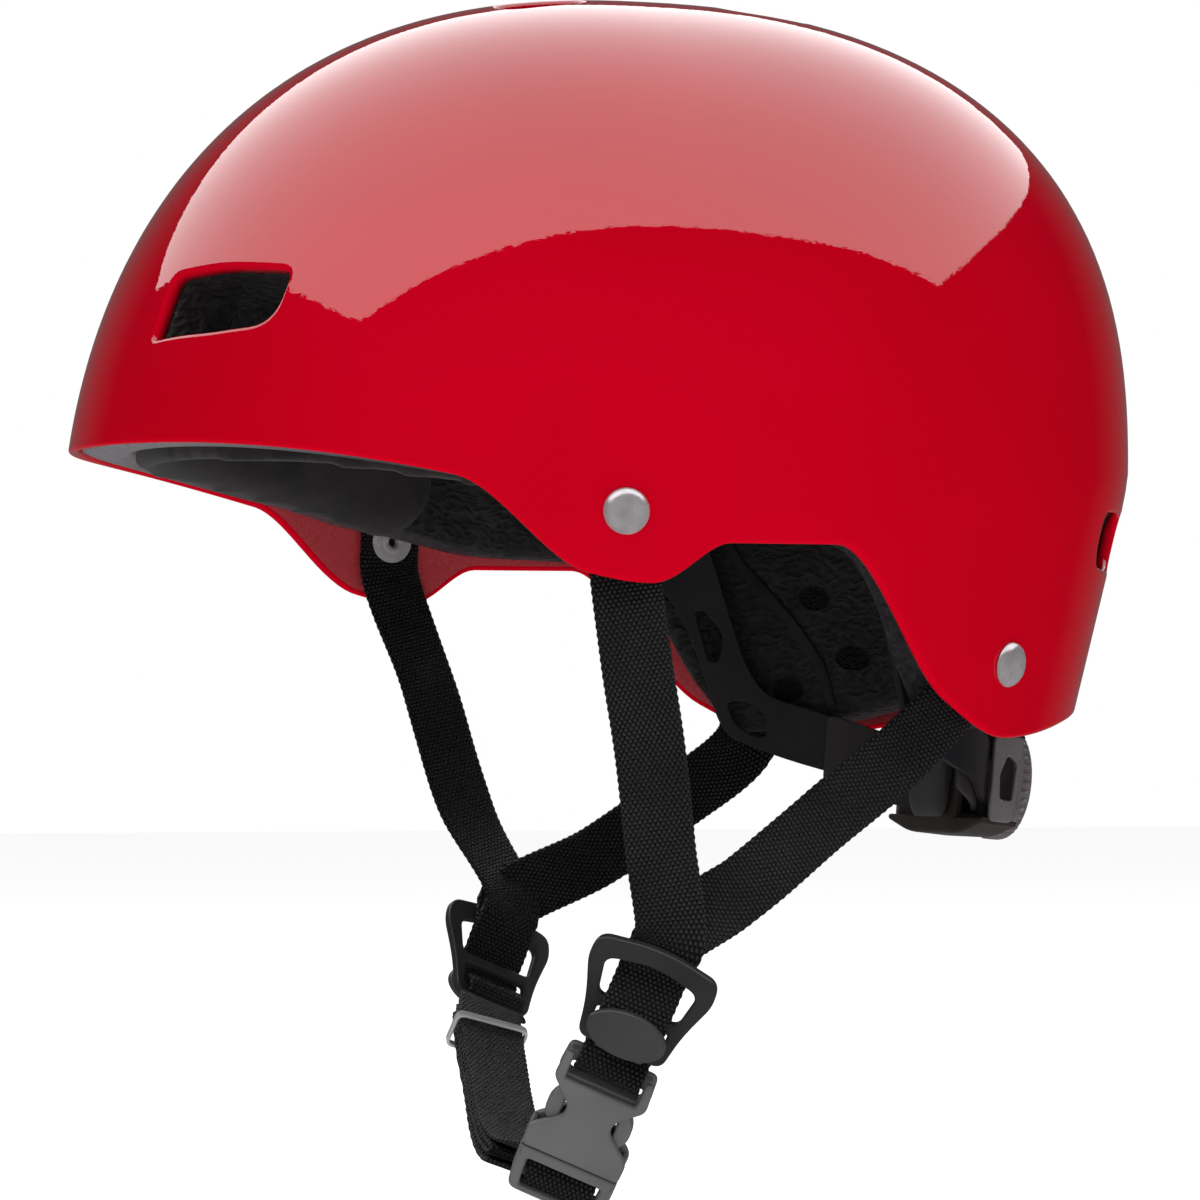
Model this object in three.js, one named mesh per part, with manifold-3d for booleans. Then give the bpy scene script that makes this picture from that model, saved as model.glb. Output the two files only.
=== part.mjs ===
// A water-sports helmet: a glossy hard shell with a foam liner, comfort pads, a dial-adjusted
// nape cradle, and a chin strap of flat webbing with strap guides and a side-release buckle.
// Units are millimetres. +Z is up, -Y is the front, +X is the wearer's left.
// The origin is the middle of the head opening, at the height of the brow rim.
import * as THREE from "three";
import { mergeVertices } from "three/addons/utils/BufferGeometryUtils.js";
import Module from "manifold-3d";

const wasm = await Module();
wasm.setup();
const { cos, sin, abs, sqrt, min, max, floor, hypot, PI } = Math;
const rad = (degrees) => (degrees * PI) / 180;
const v3 = (x, y, z) => new THREE.Vector3(x, y, z);

// ---- Driving dimensions ----
const FRONT = 144.5; // half-length of the shell ahead of the origin
const REAR = 143.5; // half-length behind it
const HALF_WIDTH = 112;
const CROWN = 117.5; // height of the crown above the brow rim
const PLAN_POWER = 2.1; // superellipse power of the shell seen from above
const SHELL_WALL = 2.5;
const GAP = 0.3; // clearance between parts that touch
const LINER_WALL = 15;
const PAD_WALL = 7;
const WEB_WIDTH = 18; // chin-strap webbing
const WEB_THICK = 1.2;
const RIVET_HEAD = 5.8; // radius
const RIVET_SHANK = 2.1; // radius
const FACET_GAP = 1.4; // clearance between two curved skins whose facets differ
const LINER_OUT = SHELL_WALL + FACET_GAP; // insets from the shell's outer face
const LINER_IN = LINER_OUT + LINER_WALL;
const WEB_SEAT = SHELL_WALL + 1.5; // depth at which webbing lies under the shell
const HALVINGS = 40; // steps of a search that halves its range each time

// ---- The shell's surface ----
// A value that is `front` at the brow, `side` at the ears and `rear` at the nape.
function around(phi, front, side, rear) {
  const s = sin(phi);
  return side * (1 - s * s) + s * s * (s > 0 ? rear : front);
}

function planRadius(phi, inset) {
  const length = (sin(phi) > 0 ? REAR : FRONT) - inset;
  const x = abs(cos(phi) / (HALF_WIDTH - inset)) ** PLAN_POWER;
  const y = abs(sin(phi) / length) ** PLAN_POWER;
  return (x + y) ** (-1 / PLAN_POWER);
}

// Height of the widest level, and the power of the dome above it.
const widest = (phi) => around(phi, -45, -22, -4);
const domePower = (phi) => around(phi, 2.33, 2.3, 2.5);

// Distance from the Z axis to the surface that lies `inset` inside the shell's outer face.
function radiusAt(phi, z, inset) {
  const base = widest(phi);
  const rise = min(max((z - base) / (CROWN - inset - base), 0), 1);
  const power = domePower(phi);
  const dome = max(1 - rise ** power, 0) ** (1 / power);
  const below = max(base - z, 0);
  const TURN = 6; // how softly the wall turns inward below the widest level
  const tuck = around(phi, 0.05, 0.1, 0.26) * (sqrt(below * below + TURN * TURN) - TURN);
  return planRadius(phi, inset) * dome - tuck;
}

function surfacePoint(phi, z, inset) {
  const r = radiusAt(phi, z, inset);
  return v3(r * cos(phi), r * sin(phi), z);
}

// Azimuth at which the surface has the given y, on the left side.
function azimuthOf(y, z, inset) {
  let low = -PI / 2;
  let high = PI / 2;
  for (let i = 0; i < HALVINGS; i++) {
    const mid = (low + high) / 2;
    if (surfacePoint(mid, z, inset).y < y) low = mid;
    else high = mid;
  }
  return (low + high) / 2;
}

function outwardNormal(phi, z) {
  const step = 0.01;
  const along = surfacePoint(phi + step, z, 0).sub(surfacePoint(phi - step, z, 0));
  const up = surfacePoint(phi, z + 1, 0).sub(surfacePoint(phi, z - 1, 0));
  return along.cross(up).normalize();
}

// Turns a local frame so that its +Z points along `out` and its +Y stays as near `up` as it can.
function facing(origin, out, up = v3(0, 0, 1)) {
  const x = up.clone().cross(out).normalize();
  const y = out.clone().cross(x).normalize();
  return new THREE.Matrix4().makeBasis(x, y, out).setPosition(origin);
}

function onWall(y, z, depth = 0) {
  const phi = azimuthOf(y, z, 0);
  const out = outwardNormal(phi, z);
  return facing(surfacePoint(phi, z, 0).addScaledVector(out, -depth), out);
}

// ---- Rim lines: height of the lower edge against distance front to back ----
// Each line is [y, z] pairs joined by smooth steps.
const SHELL_RIM = [
  [-145, -2], [-70, -12], [-38, -36], [-22, -38.5], [-2, -28.5],
  [27, -28.5], [62, -67], [84, -76.5], [119, -70.5], [145, -64],
];
const LINER_RIM = [
  [-145, -1.4], [-70, -11], [-40, -18], [-4, -24], [27, -25.5], [45, -31],
  [56, -44], [66, -58], [79, -71], [100, -71], [119, -66], [145, -60],
];

// A monotone cubic through the pairs.
function lineHeight(line, y) {
  const slope = (i) => (line[i + 1][1] - line[i][1]) / (line[i + 1][0] - line[i][0]);
  const tangent = (i) => {
    if (i === 0 || i === line.length - 1) return 0;
    const before = slope(i - 1);
    const after = slope(i);
    return before * after <= 0 ? 0 : (2 * before * after) / (before + after);
  };
  const at = min(max(y, line[0][0]), line.at(-1)[0]);
  let i = 0;
  while (i < line.length - 2 && at > line[i + 1][0]) i++;
  const width = line[i + 1][0] - line[i][0];
  const t = (at - line[i][0]) / width;
  const [a, b] = [line[i][1], line[i + 1][1]];
  const [m, n] = [tangent(i) * width, tangent(i + 1) * width];
  return (
    a * (2 * t ** 3 - 3 * t * t + 1) + m * (t ** 3 - 2 * t * t + t) +
    b * (3 * t * t - 2 * t ** 3) + n * (t ** 3 - t * t)
  );
}

// Height of a rim at an azimuth: the rim line is met where the wall has that y.
function rimHeight(line, phi) {
  const [START, EASE, ROUNDS] = [-20, 0.6, 30];
  let z = START;
  for (let i = 0; i < ROUNDS; i++) z += EASE * (lineHeight(line, radiusAt(phi, z, 0) * sin(phi)) - z);
  return z;
}

// ---- Solids ----
function toSolid(geometry, matrix = new THREE.Matrix4()) {
  const bare = (geometry.index ? geometry.toNonIndexed() : geometry.clone()).applyMatrix4(matrix);
  bare.deleteAttribute("normal");
  bare.deleteAttribute("uv");
  const merged = mergeVertices(bare, 1e-3);
  const vertProperties = merged.attributes.position.array;
  const triVerts = new Uint32Array(merged.index.array);
  const make = () => new wasm.Manifold(new wasm.Mesh({ numProp: 3, vertProperties, triVerts }));
  const solid = make();
  if (solid.volume() > 0) return solid;
  // The faces point inward, so each one is turned round.
  for (let i = 0; i < triVerts.length; i += 3) {
    [triVerts[i], triVerts[i + 1]] = [triVerts[i + 1], triVerts[i]];
  }
  return make();
}

function toGeometry(solid) {
  const made = solid.getMesh();
  const positions = new Float32Array(made.numVert * 3);
  for (let i = 0; i < made.numVert; i++) {
    positions.set(made.vertProperties.subarray(i * made.numProp, i * made.numProp + 3), i * 3);
  }
  const geometry = new THREE.BufferGeometry();
  geometry.setAttribute("position", new THREE.BufferAttribute(positions, 3));
  geometry.setIndex(new THREE.BufferAttribute(new Uint32Array(made.triVerts), 1));
  geometry.computeVertexNormals();
  return geometry;
}

// A solid carried into another frame.
const carried = (solid, frame) => toSolid(toGeometry(solid), frame);
const cut = (solid, ...cutters) => cutters.reduce((left, cutter) => left.subtract(cutter), solid);
const join = (...solids) => solids.reduce((a, b) => a.add(b));

// A box with moved vertices: place(x, y, z) takes each from -0.5 to 0.5.
function bentBox(nx, ny, nz, place) {
  const geometry = new THREE.BoxGeometry(1, 1, 1, nx, ny, nz);
  const p = geometry.attributes.position;
  for (let i = 0; i < p.count; i++) {
    const q = place(p.getX(i), p.getY(i), p.getZ(i));
    p.setXYZ(i, q.x, q.y, q.z);
  }
  return geometry;
}

// A dome with an inner and an outer face, down to a rim line.
function dome(outer, inner, rim, segments, rows) {
  const profile = [];
  for (let i = 0; i <= rows; i++) profile.push([i / rows, outer]);
  for (let i = rows; i >= 0; i--) profile.push([i / rows, inner]);
  const points = profile.map(([v, inset]) => new THREE.Vector2(v, -inset));
  const geometry = new THREE.LatheGeometry(points, segments);
  const p = geometry.attributes.position;
  for (let i = 0; i < p.count; i++) {
    const [v, inset] = profile[i % profile.length];
    const column = floor(i / profile.length) % segments;
    const phi = -column * ((2 * PI) / segments);
    const low = rimHeight(rim, phi);
    const z = low + (CROWN - inset - low) * cos((v * PI) / 2);
    const q = v === 0 ? v3(0, 0, CROWN - inset) : surfacePoint(phi, z, inset);
    p.setXYZ(i, q.x, q.y, q.z);
  }
  return geometry;
}

// A plate with a drawn outline, from z = low to z = high in its own frame.
function plate(shape, low, high, curveSegments = 6) {
  const geometry = new THREE.ExtrudeGeometry(shape, {
    depth: high - low,
    bevelEnabled: false,
    curveSegments,
  });
  return geometry.translate(0, 0, low);
}

// A polygon with rounded corners, from [x, y, radius] corners in order.
function rounded(corners, path = new THREE.Shape()) {
  const count = corners.length;
  corners.forEach(([x, y, wanted], i) => {
    const [px, py] = corners[(i + count - 1) % count];
    const [nx, ny] = corners[(i + 1) % count];
    const before = hypot(px - x, py - y);
    const after = hypot(nx - x, ny - y);
    const radius = min(wanted, 0.49 * before, 0.49 * after);
    const a = [x + ((px - x) * radius) / before, y + ((py - y) * radius) / before];
    const b = [x + ((nx - x) * radius) / after, y + ((ny - y) * radius) / after];
    if (i === 0) path.moveTo(...a);
    else path.lineTo(...a);
    path.quadraticCurveTo(x, y, ...b);
  });
  path.closePath();
  return path;
}

const rectangle = (x0, y0, x1, y1, radius) =>
  rounded([[x0, y0, radius], [x1, y0, radius], [x1, y1, radius], [x0, y1, radius]]);

function block(x0, y0, z0, x1, y1, z1) {
  return new THREE.BoxGeometry(x1 - x0, y1 - y0, z1 - z0)
    .translate((x0 + x1) / 2, (y0 + y1) / 2, (z0 + z1) / 2);
}

// A turned piece: [radius, height] pairs, with the axis along its own +Z.
function turned(pairs, segments = 18) {
  const points = pairs.map(([r, h]) => new THREE.Vector2(r, h));
  return new THREE.LatheGeometry(points, segments).rotateX(PI / 2);
}

// A cylinder along its own +Y, from y0 to y1.
const spindle = (radius, y0, y1, segments = 16) =>
  toSolid(turned([[0, y0], [radius, y0], [radius, y1], [0, y1]], segments).rotateX(-PI / 2));

// Flat webbing along a smooth line; stations are {at, across}: a point and the way its width runs.
// It covers the line's share between `from` and `to`, `lift` away from it on its upper side.
function webbing(stations, steps, { thick = WEB_THICK, from = 0, to = 1, lift = 0 } = {}) {
  return bentBox(1, 1, steps, (x, y, z) => {
    const at = lineFrame(stations, from + (to - from) * (z + 0.5));
    return v3(x * WEB_WIDTH, lift - y * thick, 0).applyMatrix4(at);
  });
}

// The frame at a share of a line: +X across the webbing, +Y out of its face, +Z along it.
function lineFrame(stations, share) {
  const line = new THREE.CatmullRomCurve3(stations.map((s) => s.at), false, "centripetal");
  const last = stations.length - 1;
  const t = min(max(share, 0), 1);
  const i = min(floor(t * last), last - 1);
  const along = line.getTangent(t);
  const across = stations[i].across.clone().lerp(stations[i + 1].across, t * last - i);
  across.addScaledVector(along, -across.dot(along)).normalize();
  return new THREE.Matrix4()
    .makeBasis(across, along.clone().cross(across), along)
    .setPosition(line.getPoint(t));
}

// ---- Materials ----
const finish = (color, roughness, metalness = 0) =>
  new THREE.MeshStandardMaterial({ color, roughness, metalness });
const MATERIALS = {
  shell: finish(0xc4001c, 0.12),
  foam: finish(0x1c1b1d, 0.85),
  pad: finish(0x2a2728, 0.9),
  rivet: finish(0xc9c6c8, 0.25, 1),
  web: finish(0x17171a, 0.9),
  guide: finish(0x303034, 0.5),
  buckle: finish(0x66666a, 0.45),
  keeper: finish(0xa6a6a8, 0.5),
  cradle: finish(0x232226, 0.4),
  dial: finish(0x6d6769, 0.45),
};

const helmet = new THREE.Group();
function addPart(name, solid, material) {
  const mesh = new THREE.Mesh(toGeometry(solid), MATERIALS[material]);
  mesh.name = name;
  helmet.add(mesh);
}

// The mirror of a solid in the plane X = 0.
const mirrored = (solid) => solid.mirror([1, 0, 0]);
const SIDES = [["left", (solid) => solid], ["right", mirrored]];

// ---- Vents: outlines in the wall's own frame, at [y, z] on the left side or over the crown ----
const FRONT_VENT = rounded([[-18.5, 9.3, 4], [22, 9, 5], [19, -7.5, 8], [-21.5, -9.8, 3]]);
const REAR_VENT = rectangle(-18, -8, 18, 8, 7);
const CROWN_VENT = rectangle(-8.5, -12, 8.5, 12, 7.5);
const VENT_DEPTH = 40; // reach of the vents' cutters inward, and then outward
const VENT_PROUD = 12;
const VENT_GROW = 1.06; // how much wider the liner's openings are than the shell's
const CROWN_VENT_X = 24;
const CROWN_VENT_Y = [-24, 37];
const SKIN_GRID = [48, 8]; // facets round and down the shell and the liner

function ventFrames() {
  const front = onWall(-118, 32);
  const rear = onWall(127, -26);
  const crown = CROWN_VENT_Y.map((y) => {
    const x = CROWN_VENT_X;
    const phi = Math.atan2(y, x);
    const reach = (hypot(x, y) / planRadius(phi, 0)) ** domePower(phi);
    const z = widest(phi) + (CROWN - widest(phi)) * (1 - reach) ** (1 / domePower(phi));
    return facing(v3(x, y, z), outwardNormal(phi, z), v3(0, 1, 0));
  });
  return [[FRONT_VENT, front], [REAR_VENT, rear], ...crown.map((frame) => [CROWN_VENT, frame])];
}

function ventCutters(grow) {
  return ventFrames().flatMap(([outline, frame]) => {
    const geometry = plate(outline, -VENT_DEPTH, VENT_PROUD, 2).scale(grow, grow, 1);
    const solid = toSolid(geometry, frame);
    return [solid, mirrored(solid)];
  });
}

// ---- Rivets ----
const RIVETS = { front: [-29, -22.2], rear: [82, -59] }; // [y, z] on the wall
const WASHER_RADIUS = 5.9;
const WASHER_THICK = 0.9;

function rivetCutter([y, z], radius, low, high) {
  const solid = toSolid(turned([[0, low], [radius, low], [radius, high], [0, high]], 16), onWall(y, z));
  return [solid, mirrored(solid)];
}

function addRivets() {
  // A domed head outside, and a flared tube end on a washer inside.
  const stack = WEB_SEAT + WEB_THICK + GAP;
  const flare = -stack - WASHER_THICK - GAP;
  const profile = [
    [0, flare - 1.6], [1.2, flare - 1.4], [2.6, flare - 1.2], [3.2, flare - 0.2], [RIVET_SHANK, flare],
    [RIVET_SHANK, 0.1], [RIVET_HEAD, 0.15], [RIVET_HEAD - 0.3, 0.9], [3.8, 2.1], [0, 2.6],
  ];
  const ring = [
    [RIVET_SHANK + GAP, -stack - WASHER_THICK], [WASHER_RADIUS, -stack - WASHER_THICK],
    [WASHER_RADIUS, -stack], [RIVET_SHANK + GAP, -stack], [RIVET_SHANK + GAP, -stack - WASHER_THICK],
  ];
  for (const [place, [y, z]] of Object.entries(RIVETS)) {
    for (const [side, turn] of SIDES) {
      const frame = onWall(y, z);
      addPart(`${side}_${place}_rivet`, turn(toSolid(turned(profile, 14), frame)), "rivet");
      addPart(`${side}_${place}_washer`, turn(toSolid(turned(ring, 14), frame)), "rivet");
    }
  }
}

// ---- Shell and liner ----
function addShell() {
  const body = toSolid(dome(0, SHELL_WALL, SHELL_RIM, ...SKIN_GRID));
  const holes = Object.values(RIVETS).flatMap((at) => rivetCutter(at, RIVET_SHANK + GAP, -6, 4));
  // The rivet heads sit on flats, which their rims need on a curved wall.
  const flats = Object.values(RIVETS).flatMap((at) => rivetCutter(at, RIVET_HEAD + GAP, 0, 4));
  addPart("outer_shell", cut(body, ...ventCutters(1), ...holes, ...flats), "shell");
}

function addLiner() {
  const body = toSolid(dome(LINER_OUT, LINER_IN, LINER_RIM, ...SKIN_GRID));
  // Room for the ends of the webbing, their washers and the rivets' tubes.
  const reach = { front: rectangle(-12, -30, 12, 14, 3), rear: rectangle(-34, -30, 15, 15, 3) };
  const pockets = Object.entries(RIVETS).flatMap(([place, [y, z]]) => {
    const pocket = toSolid(plate(reach[place], -12, 4), onWall(y, z));
    return [pocket, mirrored(pocket)];
  });
  addPart("foam_liner", cut(body, ...ventCutters(VENT_GROW), ...pockets, ...anchorHoles()), "foam");
}

// ---- Comfort pads, each a patch that follows the liner's inner face ----
const PAD_OUT = LINER_IN + FACET_GAP;
const PAD_IN = PAD_OUT + PAD_WALL;
const BROW_PAD_TOP = 24;
const SIDE_PAD = [8, 48]; // heights of its lower and upper edges
const CROWN_PAD_RADIUS = 15;
const BROW_SPAN = [rad(-168), rad(-12)];
const SIDE_SPANS = { left: [rad(14), rad(62)], right: [rad(118), rad(166)] };
const FLAT_CROWN = 1.2; // how far the liner's curved crown dips over the flat pad

function padPatch(phi0, phi1, low, high, columns = 16, rows = 3) {
  return bentBox(columns, rows, 1, (x, y, z) => {
    const phi = phi0 + (phi1 - phi0) * (x + 0.5);
    // The ends are rounded: the height shrinks over the last part of the length, to a fifth.
    const [STRAIGHT, LEAST] = [0.42, 0.2];
    const along = max((abs(x) - STRAIGHT) / (0.5 - STRAIGHT), 0);
    const shrink = sqrt(max(1 - along * along, LEAST * LEAST));
    const middle = (low(phi) + high(phi)) / 2;
    const half = ((high(phi) - low(phi)) / 2) * shrink;
    return surfacePoint(phi, middle + half * 2 * y, z > 0 ? PAD_OUT : PAD_IN);
  });
}

function addPads() {
  const browLow = (phi) => rimHeight(LINER_RIM, phi) - 4 + 2 * sin(phi);
  const brow = padPatch(...BROW_SPAN, browLow, () => BROW_PAD_TOP, 26);
  addPart("brow_pad", toSolid(brow), "pad");
  for (const [side, span] of Object.entries(SIDE_SPANS)) {
    const pad = padPatch(...span, () => SIDE_PAD[0], () => SIDE_PAD[1], 8);
    addPart(`${side}_side_pad`, toSolid(pad), "pad");
  }
  const disc = turned([[0, 0], [CROWN_PAD_RADIUS, 0], [CROWN_PAD_RADIUS, 1], [0, 1]], 20);
  const p = disc.attributes.position;
  for (let i = 0; i < p.count; i++) {
    const top = p.getZ(i) > 0.5;
    p.setZ(i, CROWN - (top ? PAD_OUT + FLAT_CROWN : PAD_IN));
  }
  addPart("crown_pad", toSolid(disc), "pad");
}

// ---- Nape cradle ----
// Its own frame slopes down to the rear; +Y runs back along the band, +Z is up.
const CRADLE_SLOPE = rad(6.5);
const CRADLE_FRAME = new THREE.Matrix4().makeRotationX(-CRADLE_SLOPE).setPosition(0, 0, -77);
const ARM_REACH = 105; // from the cradle's origin back to the middle of the band
const ARM_HALF = 86;
const ARM_WALL = 2;
const ARM_HOLE = 3.3; // radius of the arm's hole round the anchor stud, wide enough to float
const PINION_RADIUS = 6; // pitch radius
const PINION_TEETH = 12;
const RACK_TIP = 0.35; // the racks' teeth pass the pinion's pitch radius by this much
const RACK_ROOT = 1.1; // and their roots and backs lie this far outside it
const RACK_BACK = 3.4;
const RACK_SPAN = [-17, 30]; // from the free end to the end that meets the arm
const TOOTH_PITCH = (2 * PI * PINION_RADIUS) / PINION_TEETH;
const HOUSING_FRONT = 97;
const HOUSING_BACK = 111;

// The arm's side outline, [y, z, corner radius], with its two slots.
function armOutline() {
  const shape = rounded([
    [26, 65, 7], [26, 56, 6], [38.5, 47, 8], [45.8, 38.7, 8], [52.8, 23.5, 8], [57.6, 10.9, 6],
    [61, 6.2, 5], [73.2, 2.2, 8], [89.9, -2, 8], [96, -6, 6], [ARM_REACH + 8, -8.5, 1],
    [ARM_REACH + 8, 8.2, 1], [97, 9.5, 5], [85.3, 14.9, 6], [68.7, 19, 8], [63.3, 26.9, 7],
    [58.1, 40, 8], [51.5, 57.6, 8], [47, 66, 7],
  ]);
  const upright = [[48.8, 40.6, 1.4], [51, 41.4, 1.4], [57, 35, 3], [56.2, 27.2, 1.4], [53.7, 27.2, 1.2]];
  const corner = [
    [59.4, 16.6, 2], [64.4, 17, 2], [69, 13.9, 2], [70.2, 7.4, 1.5], [66.4, 7.4, 2], [61.6, 10.8, 2],
  ];
  for (const slot of [upright, corner]) shape.holes.push(rounded(slot, new THREE.Path()));
  return shape;
}

// A curved wall that follows the head from the ear to the nape.
function armWall() {
  const [START, END] = [rad(10), rad(82)];
  const [MIDDLE, HEIGHT] = [27, 80];
  return bentBox(1, 1, 18, (x, y, z) => {
    const turn = START + (END - START) * (z + 0.5);
    const grow = x * ARM_WALL;
    return v3((ARM_HALF + grow) * cos(turn), (ARM_REACH + grow) * sin(turn), MIDDLE + y * HEIGHT);
  });
}

const ARM_END = 26; // x at which the arm's wall gives way to its toothed strip
const STEP_LOW = 5; // height at which the step that joins them starts

// A strip that carries a row of teeth, above or below the pinion, and the step that joins it on.
function rackStrip(up) {
  const tip = PINION_RADIUS - RACK_TIP;
  const root = PINION_RADIUS + RACK_ROOT;
  const top = PINION_RADIUS + RACK_BACK;
  const [inner, outer] = RACK_SPAN;
  const corners = [[outer, top], [inner, top], [inner, root]];
  // The teeth start half a pitch aside, so that a gap faces the pinion's upright tooth.
  for (let x = -4.5 * TOOTH_PITCH; x < 5 * TOOTH_PITCH; x += TOOTH_PITCH) {
    corners.push([x - 0.75, root], [x - 0.3, tip], [x + 0.3, tip], [x + 0.75, root]);
  }
  corners.push([outer, root]);
  const shape = new THREE.Shape(corners.map(([x, y]) => new THREE.Vector2(x, up * y)));
  const strip = acrossY(shape, ARM_REACH - ARM_WALL, ARM_REACH);
  const [low, high] = up > 0 ? [STEP_LOW, root + 0.5] : [-root - 0.5, -STEP_LOW];
  return join(strip, toSolid(block(ARM_END, ARM_REACH - 9, low, outer, ARM_REACH - 1, high)));
}

const ANCHOR = [36, 60]; // [y, z] of the studs that hold the arms to the liner
const STUD_FLOAT = GAP + 0.3; // clearance on each face of the arm, which swings a little on its stud
const STUD_RADIUS = 2;
const STUD_COLLAR = 4.2; // radius
const STUD_REST = 2.4; // the collar stops this far short of the liner

// The stud's frame: its origin is in the middle of the arm's wall, and +Z runs out to the liner.
function studFrame() {
  const [y, z] = ANCHOR;
  const x = ARM_HALF * sqrt(1 - (y / ARM_REACH) ** 2);
  const out = v3(x / ARM_HALF ** 2, y / ARM_REACH ** 2, 0).normalize();
  return CRADLE_FRAME.clone().multiply(facing(v3(x, y, z), out));
}

// The distance along the stud from the arm's middle to the liner's inner face.
function studReach() {
  const frame = studFrame();
  let low = 0;
  let high = LINER_WALL * 2;
  for (let i = 0; i < HALVINGS; i++) {
    const middle = (low + high) / 2;
    const p = inFrame(frame, 0, 0, middle);
    if (hypot(p.x, p.y) < radiusAt(Math.atan2(p.y, p.x), p.z, LINER_IN)) low = middle;
    else high = middle;
  }
  return low;
}

function anchorHoles() {
  const radius = STUD_RADIUS + 0.5;
  const low = studReach() - 12;
  const high = studReach() + 9;
  const bore = toSolid(turned([[0, low], [radius, low], [radius, high], [0, high]], 12), studFrame());
  return [bore, mirrored(bore)];
}

function addCradle() {
  const outline = plate(armOutline(), 5, 120, 3).applyMatrix4(
    new THREE.Matrix4().makeBasis(v3(0, 1, 0), v3(0, 0, 1), v3(1, 0, 0)),
  );
  const wall = toSolid(armWall());
  const hole = toSolid(turned([[0, -30], [ARM_HOLE, -30], [ARM_HOLE, 30], [0, 30]], 12), studFrame());
  SIDES.forEach(([side, turn], i) => {
    const up = i === 0 ? 1 : -1;
    const trimmed = wall.intersect(toSolid(outline));
    // The end that enters the housing is only as tall as its toothed strip.
    const bar = STEP_LOW - 0.6;
    const clear = up > 0 ? block(-30, 90, -20, 31, 130, bar) : block(-30, 90, -bar, 31, 130, 20);
    const end = block(-30, 90, -20, ARM_END, 130, 20);
    const arm = join(cut(trimmed, toSolid(clear), toSolid(end)), rackStrip(up));
    addPart(`${side}_cradle_arm`, turn(cut(carried(arm, CRADLE_FRAME), hole)), "cradle");
    addPart(`${side}_anchor_stud`, turn(anchorStud()), "cradle");
  });
  addHousing();
  addDial();
}

// A push-in stud: a flat head inside the arm, a spacing collar, and a barbed end in the liner.
function anchorStud() {
  const head = -ARM_WALL / 2 - STUD_FLOAT;
  const collar = ARM_WALL / 2 + STUD_FLOAT;
  const wall = studReach();
  const profile = [
    [0, head - 1.6], [4.6, head - 1.6], [4.9, head], [STUD_RADIUS, head], [STUD_RADIUS, collar],
    [STUD_COLLAR, collar], [STUD_COLLAR, wall - STUD_REST], [STUD_RADIUS, wall - STUD_REST],
    [STUD_RADIUS, wall + 6.5], [STUD_RADIUS + GAP, wall + 6.8], [1, wall + 8.4], [0, wall + 8.4],
  ];
  return toSolid(turned(profile, 14), studFrame());
}

const HOUSING_HALF = 30; // half-width
const HOUSING_TOP = 12.2;
const HOUSING_FOOT = [-13.4, -12.2]; // in the middle and at the ends
const RACK_ROOM = [27, 10.7]; // half-width and half-height of the room for the racks
const HOUSING_WALL = 2.2; // its front wall
const MOUTH = 15; // the arms come in beyond this distance from the middle
const COVER_WALL = 3;
const AXLE_RADIUS = 1.6;
const HUB_RADIUS = 3.8;
const THROUGH = [HOUSING_FRONT - 7, HOUSING_BACK + 19]; // reach of a bore right through the housing

// Plates drawn in X and Z and extruded along Y, which runs to the rear.
const acrossY = (shape, y0, y1, segments = 6) =>
  toSolid(plate(shape, -y1, -y0, segments).rotateX(PI / 2));

function addHousing() {
  const split = HOUSING_BACK - COVER_WALL;
  const [middleFoot, endFoot] = HOUSING_FOOT;
  const outline = rounded([
    [-HOUSING_HALF, endFoot, 3], [-MOUTH, middleFoot, 5], [MOUTH, middleFoot, 5],
    [HOUSING_HALF, endFoot, 3], [HOUSING_HALF, HOUSING_TOP, 4], [-HOUSING_HALF, HOUSING_TOP, 4],
  ]);
  const [wide, tall] = RACK_ROOM;
  const room = acrossY(rectangle(-wide, -tall, wide, tall, 2), HOUSING_FRONT + HOUSING_WALL, HOUSING_BACK);
  const mouth = toSolid(block(MOUTH, THROUGH[0], -tall, HOUSING_HALF + 1, split, tall));
  const boss = spindle(AXLE_RADIUS, HOUSING_FRONT + 2, HOUSING_FRONT + 8, 14);
  const base = cut(acrossY(outline, HOUSING_FRONT, split - GAP), room, mouth, mirrored(mouth));
  // The cover has a low seat that fits inside the base, and the dial's hub passes through it.
  const fit = 0.4;
  const seatShape = rectangle(fit - wide, fit - tall, wide - fit, tall - fit, 2);
  const cover = join(acrossY(outline, split, HOUSING_BACK), acrossY(seatShape, split, HOUSING_BACK - 1));
  const hubBore = spindle(HUB_RADIUS + GAP, ...THROUGH, 20);
  addPart("cradle_housing", carried(join(base, boss), CRADLE_FRAME), "cradle");
  addPart("housing_cover", carried(cut(cover, hubBore), CRADLE_FRAME), "cradle");
  const padding = acrossY(rectangle(-14, -12, 14, 10, 5), HOUSING_FRONT - 4, HOUSING_FRONT - GAP);
  addPart("nape_pad", carried(padding, CRADLE_FRAME), "pad");
}

const DIAL_RADIUS = 15.5;
const DIAL_THICK = 8;
const DIAL_RIBS = 20;
const DIAL_FRONT = HOUSING_BACK + 0.5;
const HUB_LENGTH = 6;

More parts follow.
